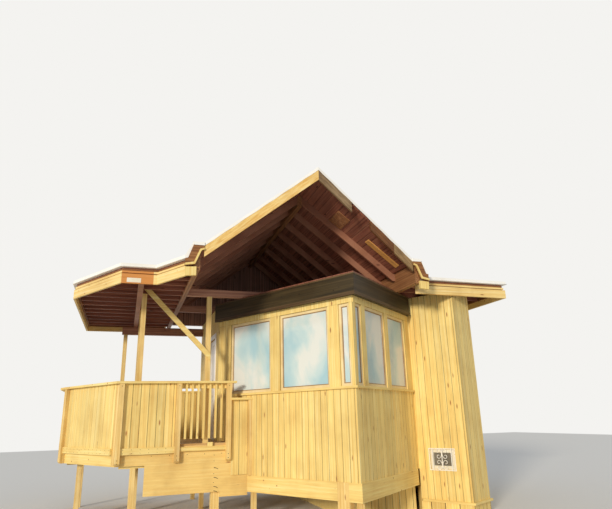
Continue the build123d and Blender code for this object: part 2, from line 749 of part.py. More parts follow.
free_edges = [(left_wing, index) for index in (6, 0, 1, 4, 5)] + [(right_wing, index) for index in (2, 3, 4)]
with BuildPart() as upper_fascias:
    for outline, index in free_edges:
        prism(edge_strip(outline, index, FASCIA_BACK, fascia_face), ROOF_UNDER, roof_joist_top)
save(upper_fascias, "upper_fascias")

EDGE_BATTEN = 35.0
with BuildPart() as lower_fascias:
    for outline, index in free_edges:
        strip = edge_strip(outline, index, fascia_face, fascia_face + STUD)
        prism(strip, ROOF_UNDER - FASCIA_DROP, ROOF_UNDER + FASCIA_LAP)
        strip = edge_strip(outline, index, fascia_face, fascia_face + BOARD)
        batten_bottom = ROOF_UNDER + FASCIA_LAP + BOARD
        prism(strip, batten_bottom, batten_bottom + EDGE_BATTEN)
save(lower_fascias, "lower_fascias")

# Gable roof
slope = (ridge_top - eave_top) / EAVE_X
under_boards = SKIN + SHEATHING
front_limit = GABLE_FRONT - PROW - 2 * POST


def line_z(x, drop):
    """Height of the sloping roof at x, a given drop below its top."""
    return eave_top - drop + slope * max(0.0, EAVE_X - abs(x))


def prow_cut(shift):
    """Trim the front to the gable's bent line, moved forward by shift."""
    ahead = front_limit - 2 * POST
    reach = upstand_x + POST
    foot = GABLE_FRONT - shift
    gable_line = [(reach, foot), (EAVE_X, foot), (0, foot - PROW), (-EAVE_X, foot), (-reach, foot)]
    prism([(-reach, ahead), (reach, ahead)] + gable_line, 0, ridge_top + POST, Mode.SUBTRACT)


with BuildPart() as gable_skin:
    profile(
        [
            (0, ridge_top),
            (-EAVE_X, eave_top),
            (-SHOULDER_X, eave_top),
            (-upstand_x, wing_top),
            (-skin_foot, wing_top),
            (-skin_knee, eave_top - SKIN),
            (-EAVE_X, eave_top - SKIN),
            (0, ridge_top - SKIN),
            (EAVE_X, eave_top - SKIN),
            (skin_knee, eave_top - SKIN),
            (skin_foot, wing_top),
            (upstand_x, wing_top),
            (SHOULDER_X, eave_top),
            (EAVE_X, eave_top),
        ],
        front_limit,
        roof_back,
    )
    prow_cut(0)
save(gable_skin, "gable_skin")

BARGE_GAP = (640.0, 1010.0)  # a length of the right barge board is missing
BARGE_JOINT = 1480.0  # the rest of it is in two lengths
barge_cuts = {"left": (), "right": (BARGE_GAP, (BARGE_JOINT, BARGE_JOINT + 2 * JOINT))}
for side, name in ((-1, "left"), (1, "right")):
    with BuildPart() as gable_boards:
        profile(
            [
                (0, line_z(0, SKIN)),
                (side * EAVE_X, line_z(EAVE_X, SKIN)),
                (side * EAVE_BEAM_OUT, line_z(EAVE_X, SKIN)),
                (side * EAVE_BEAM_OUT, line_z(EAVE_X, under_boards)),
                (side * EAVE_X, line_z(EAVE_X, under_boards)),
                (0, line_z(0, under_boards)),
            ],
            front_limit,
            roof_back - STUD,
        )
        prow_cut(-STUD)
    save(gable_boards, f"{name}_gable_boards")

    with BuildPart() as barge_boards:
        barge = [
            (0, line_z(0, SKIN)),
            (side * EAVE_X, line_z(EAVE_X, SKIN)),
            (side * EAVE_X, line_z(EAVE_X, SKIN + BARGE_DEPTH)),
            (0, line_z(0, SKIN + BARGE_DEPTH)),
        ]
        profile(barge, front_limit, 0)
        tip = GABLE_FRONT - PROW
        prism(
            [(0, tip), (side * EAVE_X, GABLE_FRONT), (side * EAVE_X, GABLE_FRONT + STUD), (0, tip + STUD)],
            0,
            ridge_top + POST,
            Mode.INTERSECT,
        )
        for x0, x1 in barge_cuts[name]:
            gap = [(x0, 0), (x1, 0), (x1, ridge_top), (x0, ridge_top)]
            profile(gap, front_limit, 0, Mode.SUBTRACT)
        profile(barge, roof_back - STUD, roof_back)
    save(barge_boards, f"{name}_barge_boards")

with BuildPart() as eave_beams:
    for x in (-EAVE_BEAM_OUT, eave_beam_in):
        block(x, x + POST, GABLE_FRONT + STUD, roof_back - STUD, ROOF_UNDER, eave_top - under_boards)
save(eave_beams, "eave_beams")

# The ridge beam starts at the first pair of rafters, and the boards alone make the overhang
first_rafter_y = GABLE_FRONT + FIRST_RAFTER
ridge_bottom = ridge_top - under_boards - RIDGE_DEPTH
with BuildPart() as ridge_beam:
    profile(
        [
            (0, line_z(0, under_boards)),
            (half, line_z(half, under_boards)),
            (half, ridge_bottom),
            (-half, ridge_bottom),
            (-half, line_z(half, under_boards)),
        ],
        first_rafter_y - STUD / 2,
        roof_back - STUD,
    )
save(ridge_beam, "ridge_beam")

with BuildPart() as gable_rafters:
    y = first_rafter_y
    while y < roof_back - STUD:
        for side in (-1, 1):
            profile(
                [
                    (side * half, line_z(half, under_boards)),
                    (side * EAVE_X, line_z(EAVE_X, under_boards)),
                    (side * eave_beam_in, line_z(EAVE_X, under_boards)),
                    (side * eave_beam_in, line_z(EAVE_X, under_boards + RAFTER)),
                    (side * EAVE_X, line_z(EAVE_X, under_boards + RAFTER)),
                    (side * half, line_z(half, under_boards + RAFTER)),
                ],
                y - STUD / 2,
                y + STUD / 2,
            )
        y += RAFTER_SPACING
save(gable_rafters, "gable_rafters")

with BuildPart() as back_gable:
    profile(
        [
            (-eave_beam_in, ROOF_UNDER),
            (eave_beam_in, ROOF_UNDER),
            (eave_beam_in, line_z(EAVE_X, under_boards)),
            (EAVE_X, line_z(EAVE_X, under_boards)),
            (half, line_z(half, under_boards)),
            (half, ridge_bottom),
            (-half, ridge_bottom),
            (-half, line_z(half, under_boards)),
            (-EAVE_X, line_z(EAVE_X, under_boards)),
            (-eave_beam_in, line_z(EAVE_X, under_boards)),
        ],
        BACK_Y - WALL,
        BACK_Y,
    )
save(back_gable, "back_gable")
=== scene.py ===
# %% [markdown]
# # A timber tree house
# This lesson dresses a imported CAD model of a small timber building: a room with a glazed corner under a
# prowed gable, two low wing roofs and a deck with railings. The CAD nodes stay as the structure, and the
# script adds what a close look shows, such as board joints, screws and roof laps, and a material to each.

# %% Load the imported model
import math

import bmesh
import bpy
import numpy as np
from mathutils import Matrix, Vector


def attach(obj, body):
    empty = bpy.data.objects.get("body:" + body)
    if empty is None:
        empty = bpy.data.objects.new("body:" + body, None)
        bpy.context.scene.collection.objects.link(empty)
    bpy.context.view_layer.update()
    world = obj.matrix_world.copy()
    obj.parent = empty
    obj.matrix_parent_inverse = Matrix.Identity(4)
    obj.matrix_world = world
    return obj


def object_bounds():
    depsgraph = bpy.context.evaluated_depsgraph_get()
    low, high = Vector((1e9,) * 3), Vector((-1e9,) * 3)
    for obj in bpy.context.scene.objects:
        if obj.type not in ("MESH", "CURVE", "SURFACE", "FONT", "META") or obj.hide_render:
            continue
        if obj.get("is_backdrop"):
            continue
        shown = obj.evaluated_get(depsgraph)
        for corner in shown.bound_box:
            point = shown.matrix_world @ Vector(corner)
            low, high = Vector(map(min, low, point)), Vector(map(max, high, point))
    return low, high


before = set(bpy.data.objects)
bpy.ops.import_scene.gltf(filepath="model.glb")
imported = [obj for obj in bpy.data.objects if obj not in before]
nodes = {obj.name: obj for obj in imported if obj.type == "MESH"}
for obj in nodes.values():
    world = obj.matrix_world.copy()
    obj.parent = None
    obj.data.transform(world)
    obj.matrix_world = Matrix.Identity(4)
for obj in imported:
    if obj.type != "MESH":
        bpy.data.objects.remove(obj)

cad_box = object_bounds()
print("CAD nodes:", len(nodes), "box:", [[round(v, 3) for v in corner] for corner in cad_box])

# %% [markdown]
# ## Camera
# The camera's lens, place and tilt come from lines measured in the photograph: the deck's level rims, the
# upright posts and the gable. It stands at eye height and looks up and to the right.

# %% Camera
LENS = 30.92
SENSOR_WIDTH = 36.0
CAMERA_PLACE = (-2.90, -10.78, 1.70)
YAW = math.radians(18.76)
PITCH = math.radians(17.2)
ROLL = math.radians(1.45)


def camera_axes(yaw, pitch, roll):
    """Right, up and back directions of a camera that looks along +Y, turned by yaw, pitch and roll."""
    ahead = Vector((math.sin(yaw) * math.cos(pitch), math.cos(yaw) * math.cos(pitch), math.sin(pitch)))
    right = Vector((math.cos(yaw), -math.sin(yaw), 0.0))
    down = ahead.cross(right)
    across = math.cos(roll) * right + math.sin(roll) * down
    below = -math.sin(roll) * right + math.cos(roll) * down
    return across, -below, -ahead


camera_data = bpy.data.cameras.new("photo_camera")
camera_data.lens = LENS
camera_data.sensor_width = SENSOR_WIDTH
camera = bpy.data.objects.new("photo_camera", camera_data)
bpy.context.scene.collection.objects.link(camera)
turn = Matrix([list(axis) for axis in camera_axes(YAW, PITCH, ROLL)]).transposed().to_4x4()
camera.matrix_world = Matrix.Translation(CAMERA_PLACE) @ turn
bpy.context.scene.camera = camera
print("camera looks", [round(v, 3) for v in -turn.col[2].xyz])

# %% [markdown]
# ## Colours and nodes
# Colours are written as sRGB hex, as a painter's chart gives them, and a shader wants linear light, so one
# function turns them. Another adds a node with all that it needs, which keeps each material short.

# %% Helpers for materials
bpy.context.scene.view_settings.view_transform = "Standard"


def linear(hex_colour):
    """sRGB hex to linear red, green, blue and alpha: c/12.92 below 0.04045, else ((c+0.055)/1.055)^2.4."""
    parts = np.array([int(hex_colour[i : i + 2], 16) / 255 for i in (1, 3, 5)])
    low = parts / 12.92
    high = ((parts + 0.055) / 1.055) ** 2.4
    return (*np.where(parts <= 0.04045, low, high).tolist(), 1.0)


def add(tree, kind, sockets=None, links=None, stops=(), **settings):
    """A shader node with its settings, its sockets' values, its links, given as socket: (node, output), and
    the stops of its colour ramp, given as (place, hex colour)."""
    node = tree.nodes.new("ShaderNode" + kind)
    for name, value in settings.items():
        setattr(node, name, value)
    for name, value in (sockets or {}).items():
        node.inputs[name].default_value = value
    for name, (source, output) in (links or {}).items():
        tree.links.new(source.outputs[output], node.inputs[name])
    for _ in stops[2:]:
        node.color_ramp.elements.new(0.5)
    for index, (place, colour) in enumerate(stops):
        node.color_ramp.elements[index].position = place
        node.color_ramp.elements[index].color = linear(colour)
    return node


finishes = {}


def blank(name):
    """The empty node tree of a new material, which is kept under its name."""
    material = bpy.data.materials.new(name)
    material.use_nodes = True
    material.node_tree.nodes.clear()
    finishes[name] = material
    print("finish", name)
    return material.node_tree


# %% [markdown]
# ## Floor, air and light
# The building stands on a plain pale floor. The photograph was taken under a low winter sun from the left,
# so one warm sun comes from there and a pale blue air fills the shadows. The air is seen as nearly white by
# the camera, by reflections and through glass, which leaves the background plain.

# %% Floor
def grid_faces(rows, columns, close_rows=False, close_columns=False):
    """Quads of a grid of points, one for each point and its next neighbours; closing joins the last to the
    first."""
    index = np.arange(rows * columns).reshape(rows, columns)
    if close_rows:
        index = np.vstack([index, index[:1]])
    if close_columns:
        index = np.hstack([index, index[:, :1]])
    corners = (index[:-1, :-1], index[:-1, 1:], index[1:, 1:], index[1:, :-1])
    return np.stack([c.ravel() for c in corners], axis=1)


span = np.linspace(-30.0, 30.0, 3)
x, y = np.meshgrid(span, span)
floor_mesh = bpy.data.meshes.new("studio_floor")
floor_mesh.from_pydata(np.stack([x, y, 0 * x], -1).reshape(-1, 3), [], grid_faces(3, 3))
floor = bpy.data.objects.new("studio_floor", floor_mesh)
bpy.context.scene.collection.objects.link(floor)
floor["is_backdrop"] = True

tree = blank("pale_studio_floor")
lit = add(tree, "BsdfDiffuse", {"Color": linear("#F0EDE7")})
add(tree, "OutputMaterial", links={"Surface": (lit, "BSDF")})
floor_mesh.materials.append(finishes["pale_studio_floor"])
print("floor reaches", [round(v, 1) for v in floor.dimensions])

# %% Air
AIR_STRENGTH = 0.58
world = bpy.data.worlds.new("studio_air")
bpy.context.scene.world = world
world.use_nodes = True
tree = world.node_tree
tree.nodes.clear()
path = add(tree, "LightPath")
soft = add(tree, "Background", {"Color": linear("#E2E8F0"), "Strength": AIR_STRENGTH})
plain = add(tree, "Background", {"Color": linear("#F4F3F0"), "Strength": 1.0})
seen = {0: (path, "Is Camera Ray"), 1: (path, "Is Glossy Ray")}
seen = add(tree, "Math", links=seen, operation="MAXIMUM")
clear = {0: (seen, 0), 1: (path, "Is Transmission Ray")}
clear = add(tree, "Math", links=clear, operation="MAXIMUM")
mixed = add(tree, "MixShader", links={"Fac": (clear, 0), 1: (soft, 0), 2: (plain, 0)})
add(tree, "OutputWorld", links={"Surface": (mixed, 0)})
print("air of", len(tree.nodes), "nodes")

# %% Low sun
SUN_FROM = Vector((-0.80, -0.85, 0.27))
SUN_STRENGTH = 2.40
SUN_SPREAD = math.radians(9.0)
sun_data = bpy.data.lights.new("low_sun", "SUN")
sun_data.energy = SUN_STRENGTH
sun_data.angle = SUN_SPREAD
sun_data.color = linear("#FFF6E6")[:3]
sun = bpy.data.objects.new("low_sun", sun_data)
sun.matrix_world = SUN_FROM.to_track_quat("Z", "Y").to_matrix().to_4x4()
bpy.context.scene.collection.objects.link(sun)
print("sun stands", round(math.degrees(math.asin(SUN_FROM.normalized().z)), 1), "degrees high")

# %% [markdown]
# ## Where the faces are
# The plan repeats the CAD's own corners in metres. Each wall or panel is a face: a line in the plan with a
# direction along it and one outwards. A piece is then placed by u along the face, v up it and w out of it.

# %% Plan of the deck and the room
SLANT = math.radians(120.0)  # direction of the deck's slanted side and of the room's left glazed face
FAR_SLANT = math.radians(111.0)  # direction of the deck's short side
RIGHT_TURN = math.radians(40.0)  # direction of the right glazed face
BAY_TURN = math.radians(30.0)  # direction of the lower storey's front
SLANT_RUN = 1.920
FAR_RUN = 0.220
BEHIND_DECK = 0.930  # length of the left glazed face behind the deck's front line
AHEAD_OF_DECK = 2.454  # and its length ahead of that line
RIGHT_RUN = 2.460
BAY_RUN = 1.020
DECK_CORNER = (-3.004, -0.876)
DECK_RIGHT = -0.704
DECK_BACK = 2.600
ROOM_RIGHT = 3.480


def step(start, angle, length):
    """The plan point at a length from start: start plus length times the cosine and sine of the angle."""
    return (start[0] + length * math.cos(angle), start[1] + length * math.sin(angle))


deck_right = (DECK_RIGHT, DECK_CORNER[1])
slant_end = step(DECK_CORNER, SLANT, SLANT_RUN)
far_end = step(slant_end, FAR_SLANT, FAR_RUN)
room_left = step(deck_right, SLANT, BEHIND_DECK)
room_corner = step(deck_right, SLANT, -AHEAD_OF_DECK)
right_end = step(room_corner, RIGHT_TURN, RIGHT_RUN)
bay_corner = step(right_end, SLANT, -BAY_RUN)
bay_side = step(bay_corner, BAY_TURN, (ROOM_RIGHT - bay_corner[0]) / math.cos(BAY_TURN))
print("room corner", [round(v, 3) for v in room_corner], "bay side", [round(v, 3) for v in bay_side])

# %% Faces
def face(start, end):
    """A face's start, its unit direction in the plan and its length; outwards is that turned right."""
    run = math.hypot(end[0] - start[0], end[1] - start[1])
    return (start, ((end[0] - start[0]) / run, (end[1] - start[1]) / run), run)


def on_face(wall, u, v, w):
    """Points of a face: its start, plus u along it, w outwards (direction turned right) and v upwards."""
    (x0, y0), (dx, dy) = wall[:2]
    return np.stack([x0 + dx * u + dy * w, y0 + dy * u - dx * w, v + 0 * u], axis=-1)


far_back = (far_end[0], DECK_BACK)
room_back = (room_left[0], DECK_BACK)
right_back = (ROOM_RIGHT, DECK_BACK)
faces = {
    "deck_front": face(DECK_CORNER, deck_right),
    "deck_slant": face(slant_end, DECK_CORNER),
    "deck_side": face(far_end, slant_end),
    "deck_left": face(far_back, far_end),
    "deck_back": face(room_back, far_back),
    "left_face": face(room_left, room_corner),
    "right_face": face(room_corner, right_end),
    "bay_face": face(right_end, bay_corner),
    "bay_front": face(bay_corner, bay_side),
    "right_wall": face(bay_side, right_back),
    "back_wall": face(right_back, room_back),
    "left_wall": face(room_back, room_left),
}
print({name: round(wall[2], 3) for name, wall in faces.items()})

# %% Levels and lengths shared by many pieces
DECK_TOP = 1.305
SILL = 2.157
WINDOW_HEAD = 3.490
ROOF_UNDER = 3.960
ROOM_BOTTOM = 0.740
BAY_BOTTOM = 0.228
WALL_BOTTOM = 0.030
TRIM_BOTTOM = 1.165
CAP_BOTTOM = 2.334
LEDGE_UNDER = SILL - 0.038
HEADER_BOTTOM = WINDOW_HEAD + 0.110
slant_run = faces["deck_slant"][2]
left_run = faces["left_face"][2]
left_wall_run = faces["left_wall"][2]
print("windows stand", round(WINDOW_HEAD - SILL, 3), "high on a face", round(left_run, 3), "long")

# %% [markdown]
# ## Putting a mesh into the scene
# Every new piece goes through one function. It builds the mesh from arrays, makes the faces point outwards,
# writes a tone for each face, which the timber materials read as the lightness of that board, and tells the
# frame which body it rides on. Two more functions number the quads where several
# shapes make one piece.

# %% Functions for all pieces
pieces = {}
chance = np.random.default_rng(29)


def make_piece(name, points, quads, slot, tone=None, smooth=False):
    """A piece from its points and quads; its normals are made to agree before it is handed to the frame."""
    mesh = bpy.data.meshes.new(name)
    mesh.from_pydata(points.reshape(-1, 3), [], quads)
    shell = bmesh.new()
    shell.from_mesh(mesh)
    bmesh.ops.recalc_face_normals(shell, faces=shell.faces)
    shell.to_mesh(mesh)
    shell.free()
    layer = mesh.attributes.new("tone", "FLOAT", "FACE")
    layer.data.foreach_set("value", np.zeros(len(quads)) if tone is None else tone)
    mesh.polygons.foreach_set("use_smooth", np.full(len(quads), smooth))
    piece = bpy.data.objects.new(name, mesh)
    bpy.context.scene.collection.objects.link(piece)
    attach(piece, "root")
    pieces[name] = piece
    print(name, "faces", len(quads))


def copies(quads, count, times):
    """Quads of a shape's copies: each copy's are numbered on by the shape's count of points."""
    return (quads[None] + count * np.arange(times)[:, None, None]).reshape(-1, 4)


def joined(parts):
    """Points and quads of several shapes as one: each shape's quads are numbered on from the last."""
    points = [part[0].reshape(-1, 3) for part in parts]
    starts = np.cumsum([0] + [len(shape) for shape in points[:-1]])
    return np.concatenate(points), np.concatenate([part[1] + start for part, start in zip(parts, starts)])


# %% [markdown]
# ## Upright boards
# The railings and walls are covered with upright tongue-and-groove boards about 139 mm wide, and the joint
# between two of them shows as a fine V. A board is a six-sided prism, so the groove is really there and
# catches light from any side. Boards are worked out as one array, and cut where a window interrupts them.

# %% Boards cut by windows
BOARD_WIDTH = 0.139
BOARD_PROUD = 0.006
BOARD_BEVEL = 0.006
GROOVE_SHADE = -5.0  # painted shade: the sides of a board, which form the grooves, are darker
NARROWEST = 0.02  # a last strip that is narrower than this is part of the board before it
LEAST = 0.002  # pieces of a board that are shorter than this are left out


def board_table(start, stop, low, high, holes):
    """Rows of u0, u1, v0, v1, left joint, right joint, tone. Boards lie side by side from start to stop, a
    window's side splits a board in two, and a strip that a window crosses is left out over its height."""
    joints = np.append(np.arange(start, stop - NARROWEST, BOARD_WIDTH), stop)
    tones = chance.uniform(-1.0, 1.0, len(joints))
    sides = [side for hole in holes for side in hole[:2] if start < side < stop]
    cuts = np.unique(np.round(np.concatenate([joints, sides]), 5))
    rows = []
    for u0, u1 in zip(cuts[:-1], cuts[1:]):
        middle = (u0 + u1) / 2
        at_joint = [float(np.min(np.abs(joints - u)) < 1e-4) for u in (u0, u1)]
        tone = tones[np.searchsorted(joints, middle) - 1]
        levels = [low]
        for hole in sorted(holes, key=lambda h: h[2]):
            if hole[0] < middle < hole[1]:
                levels += [max(hole[2], low), min(hole[3], high)]
        levels.append(high)
        for v0, v1 in zip(levels[::2], levels[1::2]):
            if v1 - v0 > LEAST:
                rows.append((u0, u1, v0, v1, *at_joint, tone))
    return np.array(rows)


# %% Boards as prisms
NO_JOINT = 0.04  # share of the bevel at a side that is no joint


def board_prisms(table, wall, proud=BOARD_PROUD, bevel=BOARD_BEVEL, back=0.002, level=False):
    """Points and quads of the boards: the section goes round back, sides and bevelled face, at both ends.
    The bevel has almost no width at a side that is no joint. Level boards swap u and v."""
    u0, u1, v0, v1, joint0, joint1, tone = table.T
    b0 = bevel * np.maximum(joint0, NO_JOINT)
    b1 = bevel * np.maximum(joint1, NO_JOINT)
    across = np.stack([u0, u1, u1, u1 - b1, u0 + b0, u0], axis=1)
    whole = np.full(len(table), proud)
    out = np.stack([0 * u0 - back, 0 * u0 - back, proud - b1, whole, whole, proud - b0], axis=1)
    across = np.stack([across, across], axis=1)
    out = np.stack([out, out], axis=1)
    ends = np.broadcast_to(np.stack([v0, v1], axis=1)[:, :, None], across.shape)
    u, v = (ends, across) if level else (across, ends)
    ring = np.arange(6)
    after = (ring + 1) % 6
    sides = np.stack([ring, after, after + 6, ring + 6], axis=1)
    caps = np.array([[0, 1, 2, 5], [5, 2, 3, 4], [6, 7, 8, 11], [11, 8, 9, 10]])
    one = np.vstack([sides, caps])
    # the bevel faces that form the grooves get painted shade
    shade = np.where(np.isin(np.arange(len(one)), (1, 2, 4, 5)), GROOVE_SHADE, 0.0)
    return on_face(wall, u, v, out), copies(one, 12, len(table)), (tone[:, None] + shade).ravel()


def lay_boards(name, rows, wall, slot="fresh_pine", **options):
    """A piece of boards from rows of u0, u1, v0, v1, left joint, right joint, tone."""
    points, quads, tone = board_prisms(np.array(rows), wall, **options)
    make_piece(name, points, quads, slot, tone)


def clad(name, wall_name, spans, holes=(), **options):
    """Boards over several rectangles (u0, u1, v0, v1) of a face, with its windows left open."""
    lay_boards(name, np.vstack([board_table(*span, holes) for span in spans]), faces[wall_name], **options)


# %% Railing panels
POST = 0.089
POST_AT = (0.969, 1.860)  # u of the left sides of the front's two inner posts
LOW_PANEL = (1.964, 2.259, 0.759, 2.034)
END_GAP = 0.004
clad("slanted_panel_boards", "deck_slant", [(POST, slant_run - POST, TRIM_BOTTOM, CAP_BOTTOM)], bevel=0.003)
clad("front_panel_boards", "deck_front", [(POST, POST_AT[0], TRIM_BOTTOM, CAP_BOTTOM)])
clad("low_panel_boards", "deck_front", [LOW_PANEL])
for name in ("side", "left", "back"):
    run = faces["deck_" + name][2]
    clad(name + "_panel_boards", "deck_" + name, [(END_GAP, run - END_GAP, TRIM_BOTTOM, CAP_BOTTOM)])

# %% [markdown]
# The same boards cover the room. Under the windows they run from the sill beams to the ledge, and the wall
# between and above the windows has wide flat boards instead, as on the real front.

# %% Windows and door
LEFT_WINDOWS = ((0.075, 0.298), (0.530, 1.660), (1.900, 3.010))
RIGHT_WINDOWS = ((0.075, 0.290), (0.440, 1.240), (1.400, 2.200))
BACK_WINDOWS = ((0.900, 2.000), (2.700, 3.800))
SIDE_WINDOW = (1.900, 3.200)
LOW_WINDOW = (0.250, 0.735)
LOW_SILL = 0.740
LOW_HEAD = 1.080
DOOR_AWAY = 1.280
DOOR_NEAR = 0.420
DOOR_HEAD = 3.350
left_holes = [(left_run - away, left_run - near, SILL, WINDOW_HEAD) for near, away in LEFT_WINDOWS]
right_holes = [(near, away, SILL, WINDOW_HEAD) for near, away in RIGHT_WINDOWS]
low_holes = [(*LOW_WINDOW, LOW_SILL, LOW_HEAD)]
side_holes = [(*SIDE_WINDOW, SILL, WINDOW_HEAD)]
back_holes = [(near, away, SILL, WINDOW_HEAD) for near, away in BACK_WINDOWS]
door_hole = (left_wall_run - DOOR_AWAY, left_wall_run - DOOR_NEAR, DECK_TOP, DOOR_HEAD)
print("windows:", len(left_holes + right_holes + low_holes + side_holes + back_holes))

# %% Walls
RAISED_FROM = 2.580  # the back wall reaches down to the floor before here, and is raised after it
back_run = faces["back_wall"][2]
back_spans = [(0.0, RAISED_FROM, WALL_BOTTOM, ROOF_UNDER), (RAISED_FROM, back_run, ROOM_BOTTOM, ROOF_UNDER)]
clad("left_face_boards", "left_face", [(0.0, left_run, ROOM_BOTTOM, LEDGE_UNDER)])
clad("right_face_boards", "right_face", [(0.0, RIGHT_RUN, ROOM_BOTTOM, LEDGE_UNDER)])
clad("bay_face_boards", "bay_face", [(0.0, BAY_RUN, BAY_BOTTOM, ROOF_UNDER)], low_holes)
clad("bay_front_boards", "bay_front", [(0.0, faces["bay_front"][2], BAY_BOTTOM, ROOF_UNDER)])
clad("right_wall_boards", "right_wall", [(0.0, faces["right_wall"][2], WALL_BOTTOM, ROOF_UNDER)], side_holes)
clad("back_wall_boards", "back_wall", back_spans, back_holes)
clad("left_wall_boards", "left_wall", [(0.0, left_wall_run, DECK_TOP, ROOF_UNDER)], [door_hole])

# %% [markdown]
# ## Flat boards between the windows
# Between two windows the wall shows one wide board from the ledge to the dark header, and another goes over
# the window heads. They stand a little further out than the frames, with eased edges.

# %% Mullion boards
MULLION_TONES = (0.2, -0.4, 0.5, 0.1)
MULLION_PROUD = 0.010
HEAD_PROUD = 0.012
EASED = 0.003


def mullions(name, wall_name, holes, run):
    """One flat board in each gap between windows, and one level board above them to the header."""
    edges = sorted([0.0, run] + [side for hole in holes for side in hole[:2]])
    gaps = zip(edges[::2], edges[1::2], MULLION_TONES)
    rows = np.array([(u0, u1, SILL, WINDOW_HEAD, 1, 1, tone) for u0, u1, tone in gaps])
    upright = board_prisms(rows, faces[wall_name], proud=MULLION_PROUD, bevel=EASED)
    head = np.array([(WINDOW_HEAD, HEADER_BOTTOM + 0.004, 0.0, run, 1, 1, 0.3)])
    level = board_prisms(head, faces[wall_name], proud=HEAD_PROUD, bevel=EASED, level=True)
    make_piece(name, *joined([upright, level]), "fresh_pine", np.concatenate([upright[2], level[2]]))


mullions("left_face_mullions", "left_face", left_holes, left_run)
mullions("right_face_mullions", "right_face", right_holes, RIGHT_RUN)

# %% [markdown]
# ## Beads and casings
# A pane is held in its frame by a thin rounded bead, a quarter circle in section. The windows in the boarded
# side and back walls, and the door, also have a flat casing on the boards. Either is a section carried round
# the opening with mitred corners: each corner moves by the section's own offset.

# %% A section round an opening
FRAME = 0.045


def surround(name, openings, section):
    """Closed rings of a section (inset, depth), one for each opening: corner = middle + sign * (half size -
    frame - inset)."""
    signs = np.array([[-1, -1], [1, -1], [1, 1], [-1, 1]])
    inset, depth = section.T
    rings = []
    for wall_name, (u0, u1, v0, v1) in openings:
        u = (u0 + u1) / 2 + signs[:, :1] * ((u1 - u0) / 2 - FRAME - inset)
        v = (v0 + v1) / 2 + signs[:, 1:] * ((v1 - v0) / 2 - FRAME - inset)
        rings.append(on_face(faces[wall_name], u, v, depth + 0 * u))
    one = grid_faces(4, len(section), close_rows=True, close_columns=True)
    make_piece(name, np.stack(rings), copies(one, 4 * len(section), len(rings)), "white_paint")


# %% Beads round every pane
BEAD = 0.016
BEAD_BACK = -0.032
plain_panes = [("right_wall", side_holes[0])] + [("back_wall", hole) for hole in back_holes]
glazed_panes = [("left_face", hole) for hole in left_holes] + [("right_face", hole) for hole in right_holes]
turn = np.linspace(0, math.pi / 2, 5)
rounded = np.stack([BEAD * np.cos(turn), BEAD_BACK + BEAD * np.sin(turn)], axis=1)
heel = [[-0.002, BEAD_BACK - 0.002], [BEAD, BEAD_BACK - 0.002]]
section = np.vstack([heel, rounded, [[-0.002, BEAD_BACK + BEAD]]])
surround("glazing_beads", glazed_panes + plain_panes + [("bay_face", low_holes[0])], section)

# %% Casings
CASING = 0.090
EASE = 0.004
casing_top = BOARD_PROUD + 0.018
half = [[0, 0], [0, casing_top - EASE], [EASE, casing_top]]
other_half = [[CASING - EASE, casing_top], [CASING, casing_top - EASE], [CASING, 0]]
section = np.array(half + other_half) * [-1, 1] - [FRAME, 0]
surround("window_casings", plain_panes, section)
door_ring = (door_hole[0], door_hole[1], door_hole[2] - CASING, door_hole[3])
surround("door_casing", [("left_wall", door_ring)], section)

# %% [markdown]
# ## Door
# The deck door is painted and framed: two stiles and three rails stand proud of the leaf and leave two
# sunken panels. The handle is a bent round bar, a circle carried along a path with round corners.

# %% Door frame pieces
u0, u1, v0, v1 = door_hole
STILE = 0.110
DOOR_FRONT = -0.035
DOOR_GAP = 0.004
FOOT_GAP = 0.006
stiles = [(u0 + DOOR_GAP, u0 + STILE), (u1 - STILE, u1 - DOOR_GAP)]
rails = [(v0 + FOOT_GAP, v0 + 0.190), (v0 + 0.860, v0 + 1.000), (v1 - 0.120, v1 - DOOR_GAP)]
table = np.array([(*stile, v0 + FOOT_GAP, v1 - DOOR_GAP, 1, 1, 0) for stile in stiles])
sunk = {"bevel": 0.004, "back": 0.038}  # the leaf stands back in the wall
upright = board_prisms(table, faces["left_wall"], proud=DOOR_FRONT + 0.014, **sunk)
table = np.array([(*rail, u0 + STILE - 0.003, u1 - STILE + 0.003, 1, 1, 0) for rail in rails])
level = board_prisms(table, faces["left_wall"], proud=DOOR_FRONT + 0.013, level=True, **sunk)
make_piece("door_stiles", *joined([upright, level]), "white_paint")

# %% Bars and bent paths
ASKEW = np.array([0.31, 0.17, 0.93])  # a direction that no bar here follows
CLOSED = 0.02  # the end rings' share of the radius


def tube(path, radius, sides=12):
    """A circle carried along a path: each ring stands in the plane of two directions square to the tangent,
    found from the same reference so that it doesn't twist; the first and last rings shrink to close."""
    tangent = np.gradient(path, axis=0)
    tangent /= np.linalg.norm(tangent, axis=1, keepdims=True)
    first = np.cross(tangent, ASKEW)
    first /= np.linalg.norm(first, axis=1, keepdims=True)
    second = np.cross(tangent, first)
    turn = np.linspace(0, 2 * math.pi, sides, endpoint=False)[None, :, None]
    rings = path[:, None] + radius * (np.cos(turn) * first[:, None] + np.sin(turn) * second[:, None])
    start = path[0] + CLOSED * (rings[0] - path[0])
    end = path[-1] + CLOSED * (rings[-1] - path[-1])
    rings = np.concatenate([start[None], rings, end[None]])
    return rings, grid_faces(len(rings), sides, close_columns=True)


